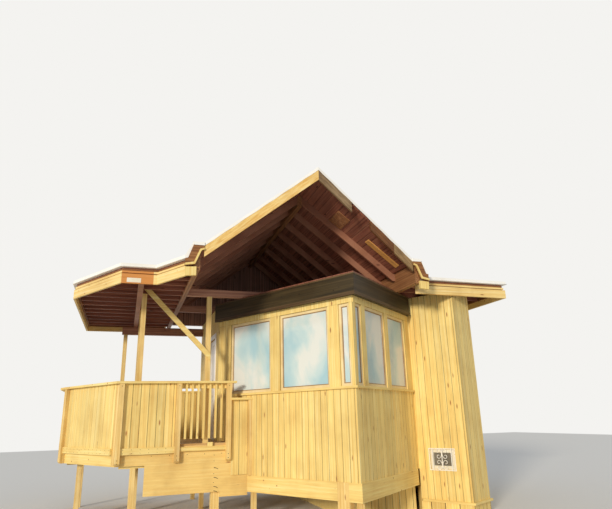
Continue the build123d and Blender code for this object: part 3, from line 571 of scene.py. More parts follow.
def round_path(corners, radius, count=7):
    """Straight runs joined by curves: each inner corner gives way to points of a quadratic curve between
    the places that lie a radius before and after it."""
    before, here, after = corners[:-2], corners[1:-1], corners[2:]
    enter = here + radius * (before - here) / np.linalg.norm(before - here, axis=1, keepdims=True)
    leave = here + radius * (after - here) / np.linalg.norm(after - here, axis=1, keepdims=True)
    t = np.linspace(0, 1, count)[None, :, None]
    curve = (1 - t) ** 2 * enter[:, None] + 2 * t * (1 - t) * here[:, None] + t**2 * leave[:, None]
    return np.concatenate([corners[:1], curve.reshape(-1, 3), corners[-1:]])


# %% Door handle
HANDLE_HEIGHT = 1.02
HANDLE_OUT = 0.030
HANDLE_LENGTH = 0.125
HANDLE_RADIUS = 0.009
HANDLE_BEND = 0.018
handle_u = u0 + 0.060
handle_corners = [
    (handle_u, HANDLE_HEIGHT, DOOR_FRONT + 0.010),
    (handle_u, HANDLE_HEIGHT, HANDLE_OUT),
    (handle_u + HANDLE_LENGTH, HANDLE_HEIGHT, HANDLE_OUT),
]
flat = round_path(np.array(handle_corners), HANDLE_BEND)
line = on_face(faces["left_wall"], flat[:, 0], DECK_TOP + flat[:, 1], flat[:, 2])
make_piece("door_handle", *tube(line, HANDLE_RADIUS), "white_iron", smooth=True)

# %% [markdown]
# ## Screw heads
# Screws hold the railing posts, the foot rails and the plywood skirt, and they show as dark dots. A head is
# a flat dome of a few rings, and all heads of a row are one piece. They are drawn 10 to 14 mm wide, a little
# larger than real ones, so that they show at this distance.

# %% Domes on faces
HEAD_HEIGHT = 0.004
HEAD_FOOT = -0.003


def domes(name, wall_name, places, out, radius, sides=8):
    """Domes at places (u, v): ring k has radius r*cos(a) and stands h*sin(a) out, for a from 0 to a right
    angle, and a skirt goes a little way into the wood."""
    angle = np.array([0.0, 0.0, 0.45, 0.95, 1.5])
    reach = radius * np.cos(angle)
    stand = HEAD_HEIGHT * np.sin(angle)
    stand[0] = HEAD_FOOT
    turn = np.linspace(0, 2 * math.pi, sides, endpoint=False)
    places = np.array(places)
    u = places[:, None, None, 0] + reach[None, :, None] * np.cos(turn)
    v = places[:, None, None, 1] + reach[None, :, None] * np.sin(turn)
    w = out + stand[None, :, None] + 0 * u
    one = grid_faces(len(angle), sides, close_columns=True)
    quads = copies(one, len(angle) * sides, len(places))
    make_piece(name, on_face(faces[wall_name], u, v, w), quads, "dark_board", smooth=True)


# %% Screws of posts and foot rails
POST_FACE = 0.070
RAIL_FACE = 0.038
RAIL_PITCH = 0.1395
RAIL_ROWS = (1.19, 1.245)
post_places = [(u + POST / 2, v) for u in POST_AT for v in (1.055, 1.120, 2.290)]
post_places += [(POST / 2, v) for v in (1.030, 1.085, 2.290)]
rail_places = [(u, v) for u in np.arange(0.13, 0.95, RAIL_PITCH) for v in RAIL_ROWS]
slant_places = [(u, v) for u in np.arange(0.13, slant_run - 0.1, RAIL_PITCH) for v in RAIL_ROWS]
domes("post_screws", "deck_front", post_places, POST_FACE, 0.007)
domes("front_rail_screws", "deck_front", rail_places, RAIL_FACE, 0.005)
domes("slanted_rail_screws", "deck_slant", slant_places, RAIL_FACE, 0.005)

# %% Nails of the plywood skirt
SKIRT_FACE = -0.019
joint_u = -1.230 - DECK_CORNER[0]
NAILS_FROM_JOINT = 0.105
TOP_ROW = 1.245
SECOND_ROW = 1.130
skirt_places = [(joint_u - NAILS_FROM_JOINT, v) for v in (1.103, 1.004, 0.797, 0.655)]
skirt_places += [(u, TOP_ROW) for u in np.arange(0.10, 2.20, 0.150)]
skirt_places += [(u, SECOND_ROW) for u in np.arange(0.60, 2.10, 0.300)]
domes("skirt_nails", "deck_front", skirt_places, SKIRT_FACE, 0.006)

# %% Nails bent over at the skirt's joint
NAIL_LENGTH = 0.072
NAIL_FALL = 0.026
NAIL_BOW = 0.006
NAIL_RADIUS = 0.005
t = np.linspace(0.0, 1.0, 7)
bent = []
for height in (0.896, 0.738, 0.592, 0.520):
    v = height - NAIL_FALL * t + NAIL_BOW * np.sin(3.0 * t)
    out = SKIRT_FACE + 0.003 - 0.006 * t  # it starts proud of the plywood and its tip is driven in
    line = on_face(faces["deck_front"], joint_u - 0.104 + NAIL_LENGTH * t, v, out)
    bent.append(tube(line, NAIL_RADIUS, sides=8))
make_piece("bent_nails", *joined(bent), "dark_board")

# %% [markdown]
# ## Small pieces of timber
# A short block lies on the loose rail in the open part of the railing, and a pale plate is nailed on the
# front fascia. Each is a board with eased edges, from the same section as the wall boards.

# %% Block on the loose rail
block = [(1.534, 1.632, 1.2555, 1.322, 1, 1, 0.4)]
lay_boards("rail_block", block, faces["deck_front"], proud=0.030, bevel=0.004, back=0.010)

# %% Plate on the front fascia
FASCIA_FACE = -2.028
plate_face = face((-3.160, FASCIA_FACE), (-2.560, FASCIA_FACE))
plate = [(0.150, 0.372, 3.866, 3.940, 1, 1, 0.0)]
lay_boards("fascia_plate", plate, plate_face, "white_paint", proud=0.004, bevel=0.002, back=0.003)

# %% [markdown]
# ## White roof sheet
# The roofs are covered with white sheet that turns down over the edge. The strips lap each other and the
# laps show as low raised bands. A band is a thin section carried across the roof's own profile.

# %% Roof profile
EAVE_X = 1.870
WING_TOP = 4.180
EAVE_TOP = 4.400
RIDGE_TOP = 5.840
ROOF_BACK = cad_box[1][1]
GABLE_FRONT = -2.730
PROW = 0.300  # the gable's front edge stands this much further out at the ridge than at the eaves
slope = (RIDGE_TOP - EAVE_TOP) / EAVE_X


def gable_front(x):
    """y of the gable's front edge: out by the prow at the ridge, and by less in step with x."""
    return GABLE_FRONT - PROW * (1 - np.abs(x) / EAVE_X)


print("roof back", round(ROOF_BACK, 3), "ridge", RIDGE_TOP, "box top", round(cad_box[1][2], 3))

# %% A band over the roof
LAP_WIDTH = 0.070
LAP_THICK = 0.004
LAP_FOOT = -0.003
LAP_APART = 1.20
EAVE_STRIP = 0.16  # the gable's eave ends in a level strip


def ribbon(rings):
    """Quads of a section carried through rings of points, with both ends closed by quads."""
    count, sides = rings.shape[:2]
    quads = grid_faces(count, sides, close_columns=True)
    half = sides // 2
    first = [[i, i + 1, sides - 2 - i, sides - 1 - i] for i in range(half - 1)]
    last = np.array(first) + (count - 1) * sides
    return np.vstack([quads, first, last])


def bands(name, paths):
    """Flat bands across the roof: a path gives x and z, and the band is a lap's width in y and thick in z."""
    side = LAP_WIDTH / 2
    corner_y = np.array([-side, -side + LAP_THICK, side - LAP_THICK, side])
    corner_z = np.array([LAP_FOOT, LAP_THICK, LAP_THICK, LAP_FOOT])
    parts = []
    for path, y in paths:
        x, z = np.array(path, dtype=float).T[:, :, None]
        rings = np.stack([x + 0 * corner_y, y + corner_y + 0 * x, z + corner_z], axis=-1)
        parts.append((rings, ribbon(rings)))
    make_piece(name, *joined(parts), "white_sheet")


half_path = [(EAVE_X, EAVE_TOP), (EAVE_X + EAVE_STRIP, EAVE_TOP)]
gable_path = [(-x, z) for x, z in half_path[::-1]] + [(0, RIDGE_TOP)] + half_path
bands("gable_laps", [(gable_path, y) for y in np.arange(-1.90, 3.0, LAP_APART)])

# %% Bands on the wing roofs
WING_LEFT = -3.940
WING_LEFT_FRONT = -0.620
UPSTAND_X = 2.165
EDGE_GAP = 0.012
EDGE_TURN = math.radians(30.0)  # of the left edge ahead of its corner
wing_right = cad_box[1][0]
wing_rows = -1.30 + LAP_APART * np.arange(4)
ahead = np.maximum(WING_LEFT_FRONT - wing_rows, 0)
edge_x = WING_LEFT + ahead * math.tan(EDGE_TURN) + EDGE_GAP
wing_paths = [([(x, WING_TOP), (-UPSTAND_X, WING_TOP)], y) for x, y in zip(edge_x, wing_rows)]
wing_paths += [([(UPSTAND_X, WING_TOP), (wing_right - EDGE_GAP, WING_TOP)], y) for y in wing_rows]
bands("wing_laps", wing_paths)

# %% [markdown]
# A folded strip covers the ridge. Its section, a shallow roof of its own, is carried from the back to the
# front, where it ends on the gable's bent line like the sheet below it.

# %% Ridge strip
across = np.array([-0.170, -0.163, 0.0, 0.163, 0.170, 0.163, 0.0, -0.163])
lift = np.array([-0.002, 0.006, 0.008, 0.006, -0.002, -0.004, -0.004, -0.004])
stations = np.linspace(0.0, 1.0, 9)[:, None]
y = gable_front(across) + stations * (ROOF_BACK - 0.004 - gable_front(across))
waver = 0.0015 * np.sin(9.0 * stations) * np.ones(len(across))
rings = np.stack([across + 0 * y, y, RIDGE_TOP - slope * np.abs(across) + lift + waver], axis=-1)
make_piece("ridge_strip", rings, ribbon(rings), "white_sheet")

# %% [markdown]
# The sheet's lower edge is rolled under along the wing roofs and hangs a little unevenly. The roll is a small
# circle carried round the roof's outline, which is moved outwards by the circle's own offsets.

# %% Outline moved outwards
def outset(outline, distance):
    """Outline whose edges all move outwards by a distance and meet again: each corner moves along the sum
    of its two edges' outward normals, divided by one plus their cosine."""
    points = np.array(outline, dtype=float)
    edge = np.roll(points, -1, axis=0) - points
    normal = np.stack([edge[:, 1], -edge[:, 0]], axis=1) / np.linalg.norm(edge, axis=1, keepdims=True)
    before = np.roll(normal, 1, axis=0)
    cosine = np.sum(normal * before, axis=1, keepdims=True)
    return points + distance * (normal + before) / (1 + cosine)


# %% Rolled edges
ROLL = 0.009
ROLL_OUT = 0.002
ROLL_HEIGHT = 4.130
ROLL_WAVE = 0.003
SKIN_X = 2.010  # the wing roofs' outlines start here, under the gable's eaves
RIGHT_FRONT = -2.400
SLANT_FRONT = -2.050
FRONT_END = -2.557


def rolled_edge(name, outline, count=16):
    """Circle carried round an outline: height plus the circle's sine, and a slow wave of 3 mm along it."""
    turn = np.linspace(0, 2 * math.pi, 8, endpoint=False)
    rings = np.stack([outset(outline, ROLL_OUT + ROLL * math.cos(a)) for a in turn])
    t = (np.arange(count) / count)[None, None, :, None]
    dense = rings[:, :, None] * (1 - t) + np.roll(rings, -1, axis=1)[:, :, None] * t
    dense = dense.reshape(len(turn), -1, 2)
    wave = -ROLL_WAVE * (1 + np.sin(1.7 * np.arange(dense.shape[1]))) * 0.5
    z = ROLL_HEIGHT + ROLL * np.sin(turn)[:, None] + wave[None]
    points = np.concatenate([dense, z[:, :, None]], axis=2)
    quads = grid_faces(len(turn), dense.shape[1], close_rows=True, close_columns=True)
    make_piece(name, points, quads, "white_sheet", smooth=True)


slant_foot = step((WING_LEFT, WING_LEFT_FRONT), SLANT, (SLANT_FRONT - WING_LEFT_FRONT) / math.sin(SLANT))
left_outline = [slant_foot, (FRONT_END, SLANT_FRONT), (-UPSTAND_X, GABLE_FRONT), (-SKIN_X, GABLE_FRONT)]
left_outline += [(-SKIN_X, ROOF_BACK), (WING_LEFT, ROOF_BACK), (WING_LEFT, WING_LEFT_FRONT)]
right_outline = [(SKIN_X, GABLE_FRONT), (UPSTAND_X, GABLE_FRONT), (UPSTAND_X, RIGHT_FRONT)]
right_outline += [(wing_right, RIGHT_FRONT), (wing_right, ROOF_BACK), (SKIN_X, ROOF_BACK)]
rolled_edge("left_rolled_edge", left_outline)
rolled_edge("right_rolled_edge", right_outline)

# %% [markdown]
# ## Boards on the upstand
# At the gable's foot the wing roof turns up. Its front end is closed with a board that follows the bend,
# dark brown as painted shade, a light batten runs along that board's lower edge, and a short fascia block
# stands below. A closure is two lines on the front, joined by a face, with a thickness behind.

# %% Closures of the upstand
def closure(name, upper, lower, side, depths, slot):
    """A strip between two lines of x and z: each station has four corners, two lines at front and back."""
    lines = np.array([upper, lower, lower, upper]) * [side, 1]
    y = np.repeat(depths, 2)[:, None] + 0 * lines[:, :, 0]
    rings = np.stack([lines[:, :, 0], y, lines[:, :, 1]], axis=-1).transpose(1, 0, 2)
    make_piece(name, rings, ribbon(rings), slot)


WHITE_LINE = [(2.163, 4.122), (2.118, 4.136), (2.036, 4.362), (1.872, 4.366)]
BATTEN_TOP = [(2.163, 4.040), (2.030, 4.066), (1.940, 4.284), (1.872, 4.306)]
BATTEN_FOOT = [(2.163, 4.008), (2.010, 4.034), (1.916, 4.262), (1.872, 4.280)]
BLOCK_TOP = [(2.163, 3.985), (1.985, 3.998)]
BLOCK_FOOT = [(2.150, 3.846), (1.985, 3.858)]
BOARD_DEPTHS = (-2.748, -2.688)
BATTEN_DEPTHS = (-2.772, -2.746)
BLOCK_DEPTHS = (-2.742, -2.690)
BOTH_SIDES = ((-1, "left"), (1, "right"))
for side, which in BOTH_SIDES:
    closure(which + "_upstand_board", WHITE_LINE, BATTEN_FOOT, side, BOARD_DEPTHS, "brown_board")
    closure(which + "_upstand_batten", BATTEN_TOP, BATTEN_FOOT, side, BATTEN_DEPTHS, "fresh_pine")
    closure(which + "_fascia_block", BLOCK_TOP, BLOCK_FOOT, side, BLOCK_DEPTHS, "fresh_pine")

# %% [markdown]
# The gable's sheet is folded down over the barge boards and over the top of the upstand, and shows from the
# front as a narrow white line. The fold is an L carried down each slope with a slightly wavy free edge.

# %% Folded edges of the sheet
FOLD_DROP = 0.050
FOLD_LAP = 0.090
TOP_FOLD = [(2.052, 4.403), (1.868, 4.403)]
TOP_FOLD_FOOT = [(2.034, 4.352), (1.868, 4.350)]
TOP_FOLD_DEPTHS = (-2.754, -2.732)


def folded_edge(name, side):
    """L section carried down a slope: y is the gable's bent front line, z the slope line, and the front
    leg hangs by its drop plus a small sine."""
    out = np.linspace(0.0, EAVE_X, 25)[:, None]
    drop = FOLD_DROP + 0.004 * np.sin(19.0 * out)
    into = np.array([FOLD_LAP, -0.004, -0.004, 0.001, 0.001, FOLD_LAP])
    lift = np.array([0.004, 0.004, 0.0, 0.0, -0.002, -0.002])
    hang = np.array([0.0, 0.0, 1.0, 1.0, 0.0, 0.0])
    z = RIDGE_TOP - slope * out + lift - hang * drop
    rings = np.stack([side * out + 0 * into, gable_front(out) + into, z], axis=-1)
    make_piece(name, rings, ribbon(rings), "white_sheet")


for side, which in BOTH_SIDES:
    folded_edge(which + "_folded_edge", side)
    closure(which + "_upstand_fold", TOP_FOLD, TOP_FOLD_FOOT, side, TOP_FOLD_DEPTHS, "white_sheet")

# %% [markdown]
# ## Boards over the glazed corner
# The glazed corner of the room stands out in front of the gable's roof, so short boards close its top. They
# run across, from the tie beam to the corner. Each is a flat board between two lines that meet at the tip.

# %% Lid of the corner
LID_BACK = -0.800
LID_THICK = 0.018
LID_JOINT = 0.001
HEADER_OUT = 0.100
HEADER_REACH = HEADER_OUT * math.tan((RIGHT_TURN + math.pi - SLANT) / 2)  # past the corner, as it stands out
SHOULDER = 1.600  # how far along the right face the lid goes

tip = on_face(faces["left_face"], np.array(left_run + HEADER_REACH), 0.0, HEADER_OUT)
shoulder = on_face(faces["right_face"], np.array(SHOULDER), 0.0, HEADER_OUT)
rows = np.append(np.arange(LID_BACK, tip[1] + 0.05, -BOARD_WIDTH), tip[1] + 0.004)
y = np.stack([rows[:-1] - LID_JOINT, rows[1:] + LID_JOINT], axis=1)
x_left = tip[0] - (y - tip[1]) / math.tan(math.pi - SLANT)
x_right = np.minimum(shoulder[0], tip[0] + (y - tip[1]) / math.tan(RIGHT_TURN))
plan = np.stack([x_left[:, 0], x_right[:, 0], x_right[:, 1], x_left[:, 1]], axis=1)
depth = y[:, [0, 0, 1, 1]]
levels = [0 * plan + ROOF_UNDER + lift for lift in (LID_THICK, 0.0)]
points = np.stack([np.stack([plan, depth, z], -1) for z in levels], axis=1)
prism_quads = np.array([[0, 1, 2, 3], [4, 5, 6, 7], [0, 1, 5, 4], [1, 2, 6, 5], [2, 3, 7, 6], [3, 0, 4, 7]])
tone = np.repeat(chance.uniform(-1.0, 1.0, len(y)), 6)
make_piece("corner_lid", points, copies(prism_quads, 8, len(y)), "stained_board", tone)

# %% [markdown]
# ## Header and offcuts
# The dark header over the glazed corner has a lighter lip at its foot and a thin tan strip along its top.
# Each is a level board in front of it, made long enough to meet at the room's corner. Two light offcuts are
# nailed under the right slope of the gable.

# %% Header strips
LIP = (HEADER_BOTTOM - 0.012, HEADER_BOTTOM + 0.048)
TOP_STRIP = (ROOF_UNDER - 0.030, ROOF_UNDER - 0.003)
past = HEADER_REACH + 0.008
strip_runs = {"left": (-0.020, left_run + past), "right": (-past, RIGHT_RUN - HEADER_REACH)}
for which, run in strip_runs.items():
    rows = [(*LIP, *run, 1, 1, -0.6), (*TOP_STRIP, *run, 1, 1, 0.6)]
    at = {"proud": HEADER_OUT + 0.008, "bevel": 0.003, "back": -0.098, "level": True}
    lay_boards(which + "_header_strips", rows, faces[which + "_face"], "brown_board", **at)

# %% Light boards under the gable's right slope
SKIN_DEPTH = 0.065


def slope_board(name, x0, x1, y0, y1, thick, tone):
    """A board against the underside of the boards: z is the ridge less the slope times x, then thickness."""
    x = np.array([x0, x1, x1, x0])
    y = np.array([y0, y0, y1, y1])
    top = RIDGE_TOP - SKIN_DEPTH - slope * x + 0.002
    points = np.stack([np.stack([x, y, top], 1), np.stack([x, y, top - 0.002 - thick], 1)])
    make_piece(name, points, prism_quads, "plywood", np.full(6, tone))


slope_board("soffit_offcut", 0.585, 0.805, -2.430, -1.950, 0.016, -0.5)
slope_board("soffit_board", 1.205, 1.800, -2.340, -2.200, 0.019, 0.2)

# %% [markdown]
# # Materials
# ## Sawn timber
# Fresh construction timber has pale bands of early wood and darker late wood that run along the board, a few
# dark knots, and a rough sawn skin. One function makes every timber finish. It lays the pattern's own x along
# the grain, so the same noise is slow along the board and quick across it, and it is given the two real
# directions of the boards on that node. Boards that the CAD gives as one sheet get their joints here.

# %% Directions of a pattern
UP = (0.0, 0.0, 1.0)
EAST = (1.0, 0.0, 0.0)
NORTH = (0.0, 1.0, 0.0)
RIGHT_DOWN = (EAVE_X, 0.0, EAVE_TOP - RIDGE_TOP)
LEFT_DOWN = (-EAVE_X, 0.0, EAVE_TOP - RIDGE_TOP)


def heading(along, across):
    """Turn that lays a pattern's x along the grain and its y across the boards; z completes the three."""
    first = Vector(along).normalized()
    second = Vector(across).normalized()
    third = first.cross(second)
    return Matrix((first, second, third)).transposed().to_euler("XYZ")


print("right slope turned by", [round(math.degrees(a), 1) for a in heading(RIGHT_DOWN, NORTH)])

# %% Lengths of a board
ANYWHERE = 10.0  # y behind everything


def in_lengths(tree, coords, colour, reach, stops, front=ANYWHERE):
    """Colour of a board made of several lengths: times a ramp of constant steps over x / reach, where y is
    less than front."""
    split = add(tree, "SeparateXYZ", links={"Vector": (coords, "Object")})
    share = add(tree, "Math", {1: reach}, {0: (split, "X")}, operation="DIVIDE")
    lengths = add(tree, "ValToRGB", links={"Fac": (share, 0)}, stops=stops)
    lengths.color_ramp.interpolation = "CONSTANT"
    ahead = add(tree, "Math", {1: front}, {0: (split, "Y")}, operation="LESS_THAN")
    links = {"Fac": (ahead, 0), "Color1": (colour, 0), "Color2": (lengths, 0)}
    return add(tree, "MixRGB", links=links, blend_type="MULTIPLY")


# %% Grain and joints
GRAIN_LENGTH = 1.300  # a dark band of the grain runs about this far along a board
GRAIN_WIDTH = 0.030  # bands stand this far apart on flat-sawn boards
FIBRE_LENGTH = 0.220
FIBRE_WIDTH = 0.005
KNOT_APART = 0.500
KNOT_WIDTH = 0.140
JOINT_HALF = 0.0035  # half of a joint, drawn wide enough to show
JOINT_DARK = "#3B2412"
SAWN_DEPTH = 0.003


def noise_along(tree, turned, length, width, slow_z, noise):
    """Noise with one swing in a real length along x and a width across; z goes with x when it is slow too."""
    size = {"Scale": (1 / length, 1 / width, 1 / (length if slow_z else width))}
    place = add(tree, "Mapping", size, {"Vector": (turned, 0)})
    return add(tree, "TexNoise", {"Scale": 1.0, **noise}, {"Vector": (place, 0)})


def board_joints(tree, turned, width):
    """For boards side by side in y: a lightness for each, from noise of its number, and a mask that is one
    within a joint's half width of a board's side."""
    split = add(tree, "SeparateXYZ", links={"Vector": (turned, 0)})
    count = add(tree, "Math", {1: width}, {0: (split, "Y")}, operation="DIVIDE")
    number = add(tree, "Math", links={0: (count, 0)}, operation="FLOOR")
    odd = add(tree, "TexWhiteNoise", links={"W": (number, 0)}, noise_dimensions="1D")
    value = add(tree, "Math", {1: 0.22, 2: 0.89}, {0: (odd, "Value")}, operation="MULTIPLY_ADD")
    part = add(tree, "Math", links={0: (count, 0)}, operation="FRACT")
    side = add(tree, "Math", {1: 0.5}, {0: (part, 0)}, operation="SUBTRACT")
    side = add(tree, "Math", links={0: (side, 0)}, operation="ABSOLUTE")
    joint = add(tree, "Math", {1: 0.5 - JOINT_HALF / width}, {0: (side, 0)}, operation="GREATER_THAN")
    return value, joint


# %% Knots and stains
def knotted(tree, turned, colour, knots):
    """Colour with knots, where the place is near a cell's point; a cell is long along the grain."""
    size = {"Scale": (1 / KNOT_APART, 1 / KNOT_WIDTH, 1 / KNOT_WIDTH)}
    place = add(tree, "Mapping", size, {"Vector": (turned, 0)})
    cell = add(tree, "TexVoronoi", {"Scale": 1.0}, {"Vector": (place, 0)})
    stops = [(0.05, "#FFFFFF"), (0.12, "#000000")]
    mask = add(tree, "ValToRGB", links={"Fac": (cell, "Distance")}, stops=stops)
    return add(tree, "MixRGB", {"Color2": linear(knots)}, {"Fac": (mask, 0), "Color1": (colour, 0)})


def weathered(tree, coords, colour, age):
    """Colour times broad patches of grey-brown stain, the stronger the older the board."""
    patches = add(tree, "TexNoise", {"Scale": 2.2, "Detail": 5.0}, {"Vector": (coords, "Object")})
    stops = [(0.45, "#FFFFFF"), (0.72, "#B79C7E")]
    stain = add(tree, "ValToRGB", links={"Fac": (patches, "Fac")}, stops=stops)
    links = {"Color1": (colour, 0), "Color2": (stain, 0)}
    return add(tree, "MixRGB", {"Fac": age}, links, blend_type="MULTIPLY")


# %% Timber finish
def timber(
    name,
    colours,
    along,
    across,
    slow_z=False,
    joints=0.0,
    lengths=None,
    knots="#A87440",
    rough=0.62,
    age=0.25,
):
    """Timber finish. Colour = ramp of grain noise, times board tone, times fibres, darker at knots, stains
    and joints; bump = fibres plus grain less joints."""
    tree = blank(name)
    coords = add(tree, "TexCoord")
    turn = {"Rotation": heading(along, across)}
    turned = add(tree, "Mapping", turn, {"Vector": (coords, "Object")}, vector_type="TEXTURE")
    grain = {"Detail": 3.0, "Distortion": 0.2}
    grain = noise_along(tree, turned, GRAIN_LENGTH, GRAIN_WIDTH, slow_z, grain)
    fibre = noise_along(tree, turned, FIBRE_LENGTH, FIBRE_WIDTH, slow_z, {"Detail": 2.0})
    stops = list(zip((0.30, 0.52, 0.74), colours))
    colour = add(tree, "ValToRGB", links={"Fac": (grain, "Fac")}, stops=stops)

    tone = add(tree, "Attribute", attribute_name="tone")
    value = add(tree, "Math", {1: 0.09, 2: 1.0}, {0: (tone, "Fac")}, operation="MULTIPLY_ADD")
    if joints:
        value, joint = board_joints(tree, turned, joints)
    mixed = add(tree, "HueSaturation", links={"Color": (colour, 0), "Value": (value, 0)})

    stops = [(0.35, "#EEE8DC"), (0.60, "#FFFFFF")]
    strands = add(tree, "ValToRGB", links={"Fac": (fibre, "Fac")}, stops=stops)
    links = {"Color1": (mixed, 0), "Color2": (strands, 0)}
    mixed = add(tree, "MixRGB", {"Fac": 0.55}, links, blend_type="MULTIPLY")

    mixed = knotted(tree, turned, mixed, knots)
    mixed = weathered(tree, coords, mixed, age)

    height = {0: (fibre, "Fac"), 2: (grain, "Fac")}
    height = add(tree, "Math", {1: 0.5}, height, operation="MULTIPLY_ADD")
    if joints:
        dark = {"Color2": linear(JOINT_DARK)}
        mixed = add(tree, "MixRGB", dark, {"Fac": (joint, 0), "Color1": (mixed, 0)})
        height = add(tree, "Math", links={0: (height, 0), 1: (joint, 0)}, operation="SUBTRACT")
    if lengths:
        mixed = in_lengths(tree, coords, mixed, *lengths)
    bump = add(tree, "Bump", {"Strength": 0.35, "Distance": SAWN_DEPTH}, {"Height": (height, 0)})
    skin = {1: 0.22, 2: rough - 0.11}
    skin = add(tree, "Math", skin, {0: (fibre, "Fac")}, operation="MULTIPLY_ADD")
    links = {"Base Color": (mixed, 0), "Normal": (bump, 0), "Roughness": (skin, 0)}
    shader = add(tree, "BsdfPrincipled", {"Specular IOR Level": 0.35}, links)
    add(tree, "OutputMaterial", links={"Surface": (shader, "BSDF")})


# %% [markdown]
# Pine and fir boards are nearly new and honey-coloured. The grain stands upright on posts and wall boards,
# and lies level on rails, rims and skirts, whichever way they turn in plan. Under the roofs the boards and
# joists have a reddish-brown stain that leaves the grain faint, and their colours are made darker still as
# painted shade.

# %% Pine in its directions
PINE = ("#E8C474", "#F4D888", "#FAE6A2")
PLYWOOD = ("#EDC87A", "#F2D082", "#F7DB94")
timber("sawn_pine_upright", PINE, UP, EAST)
timber("sawn_pine_level", PINE, EAST, UP, slow_z=True)
timber("board_backs", PINE, UP, EAST, joints=BOARD_WIDTH)
timber("sawn_fir_posts", ("#E0B86C", "#F0CF86", "#F8E0A2"), UP, EAST, age=0.4)
timber("sawn_fir_joists", ("#B07F42", "#CFA262", "#E0BC83"), NORTH, UP, age=0.4)
deck_pine = ("#BE9459", "#D8B47A", "#E6CB9A")
timber("planed_pine_deck_boards", deck_pine, EAST, NORTH, joints=BOARD_WIDTH, age=0.5)
timber("rotary_cut_plywood", PLYWOOD, EAST, UP, slow_z=True, rough=0.55, age=0.35)

# %% Stained timber under the roofs, darkened with painted shade
# painted shade: these reddish-brown colours are a stain darkened to stand in for the shade under the roofs
STAIN_AND_SHADE = ("#744434", "#965E4C", "#AC765E")


def stained_and_shaded(name, colours, along, across, **options):
    """Timber with the roofs' stain, which fills the fibres, and painted shade: smoother, knots nearly black.
    """
    timber(name, colours, along, across, knots="#4A2418", rough=0.5, **options)


stained_and_shaded("stain_and_shade_wing_boards", STAIN_AND_SHADE, EAST, NORTH, joints=BOARD_WIDTH)
stained_and_shaded("stain_and_shade_right_slope", STAIN_AND_SHADE, NORTH, RIGHT_DOWN, joints=BOARD_WIDTH)
stained_and_shaded("stain_and_shade_left_slope", STAIN_AND_SHADE, NORTH, LEFT_DOWN, joints=BOARD_WIDTH)
stained_and_shaded("stain_and_shade_gable_wall", ("#82584A", "#A67A68", "#BC927E"), UP, EAST, joints=BOARD_WIDTH)
stained_and_shaded("stain_and_shade_wing_joists", ("#744432", "#965E4A", "#AC745A"), EAST, UP, slow_z=True)
stained_and_shaded("stain_and_shade_tie_beams", ("#8A5A46", "#AE7C64", "#C49478"), EAST, UP, slow_z=True)
stained_and_shaded("stain_and_shade_rafters", ("#845440", "#A4725A", "#BA8A6E"), EAST, NORTH, slow_z=True)
# the eave and ridge beams' dark brown is partly their own colour and partly painted shade under the roof
timber("brown_eave_beams", ("#765032", "#986A46", "#B28458"), NORTH, UP, rough=0.5)

# %% Offcuts and header
# The offcuts are grey-brown plywood and amber pine. The header is a dark board made nearly black as painted
# shade under the roof, with brown strips that are partly painted shade as well.
timber("weathered_plywood_offcut", ("#86583A", "#A4704A", "#BC8A60"), EAST, NORTH, age=0.5)
timber("amber_pine_offcut", ("#C88C44", "#DEA45A", "#EEBE7C"), RIGHT_DOWN, NORTH, age=0.3)
# painted shade: the header's near-black and the strips' brown stand in for the roof's shadow
header_dark_and_shade = {"slow_z": True, "knots": "#20180C", "rough": 0.45}
timber("dark_and_shaded_header_board", ("#2C2415", "#40351F", "#52442C"), EAST, UP, **header_dark_and_shade)
brown = {"slow_z": True, "knots": "#33240F", "rough": 0.5}
timber("brown_header_strip", ("#4A3620", "#5E4A30", "#705A3E"), EAST, UP, **brown)

# %% Fascias and barge boards
# In the lower fascia the short front length beside the slanted one is darker orange-brown as painted shade,
# where the others are pale fir. The upper fascias are dark brown as painted shade. The right barge board is
# grey as painted shade, in three lengths: grey and tan, brown, and pale at the foot.
# painted shade: the lower fascia's front length is multiplied by orange-brown
FRONT_LENGTH_SHADE = (-4.0, [(0.0, "#FFFFFF"), (0.645, "#DDAA88"), (0.772, "#FFFFFF")], -1.0)
BARGE_LENGTHS = (EAVE_X, [(0.0, "#F2ECDF"), (0.45, "#B98D66"), (0.79, "#FFF3D6")])
new_fir = ("#E6BC70", "#F4D68C", "#FBE6AE")
# painted shade: the upper fascias and the upstand boards are dark brown
shade_brown_fir = ("#6E4325", "#8E5E36", "#A97B4C")
timber("new_fascia_boards", new_fir, EAST, UP, slow_z=True, age=0.3, lengths=FRONT_LENGTH_SHADE)
timber("shade_brown_fascia_boards", shade_brown_fir, EAST, UP, slow_z=True, age=0.5)
timber("new_barge_board", ("#DDAE5C", "#EECB80", "#F7DE9E"), LEFT_DOWN, NORTH, age=0.3)
# painted shade: the right barge board is grey, and its three lengths change colour at the joints
shade_grey_fir = ("#7E6A52", "#9A8468", "#B39C7C")
timber("shade_grey_barge_board", shade_grey_fir, RIGHT_DOWN, NORTH, age=0.6, lengths=BARGE_LENGTHS)

# %% [markdown]
# ## Membrane, iron and steel
# The roof sheet is a smooth white plastic membrane, rolled out and welded. It shows low waves where it lies
# on the boards, and a film of dust in broad patches, so it is matt with a slight sheen. The low window's
# grille is forged iron under white enamel, glossier, with specks of rust. The screws are steel with a black
# skin that has worn to brown. All three are one colour with spots of another, at very different scales.

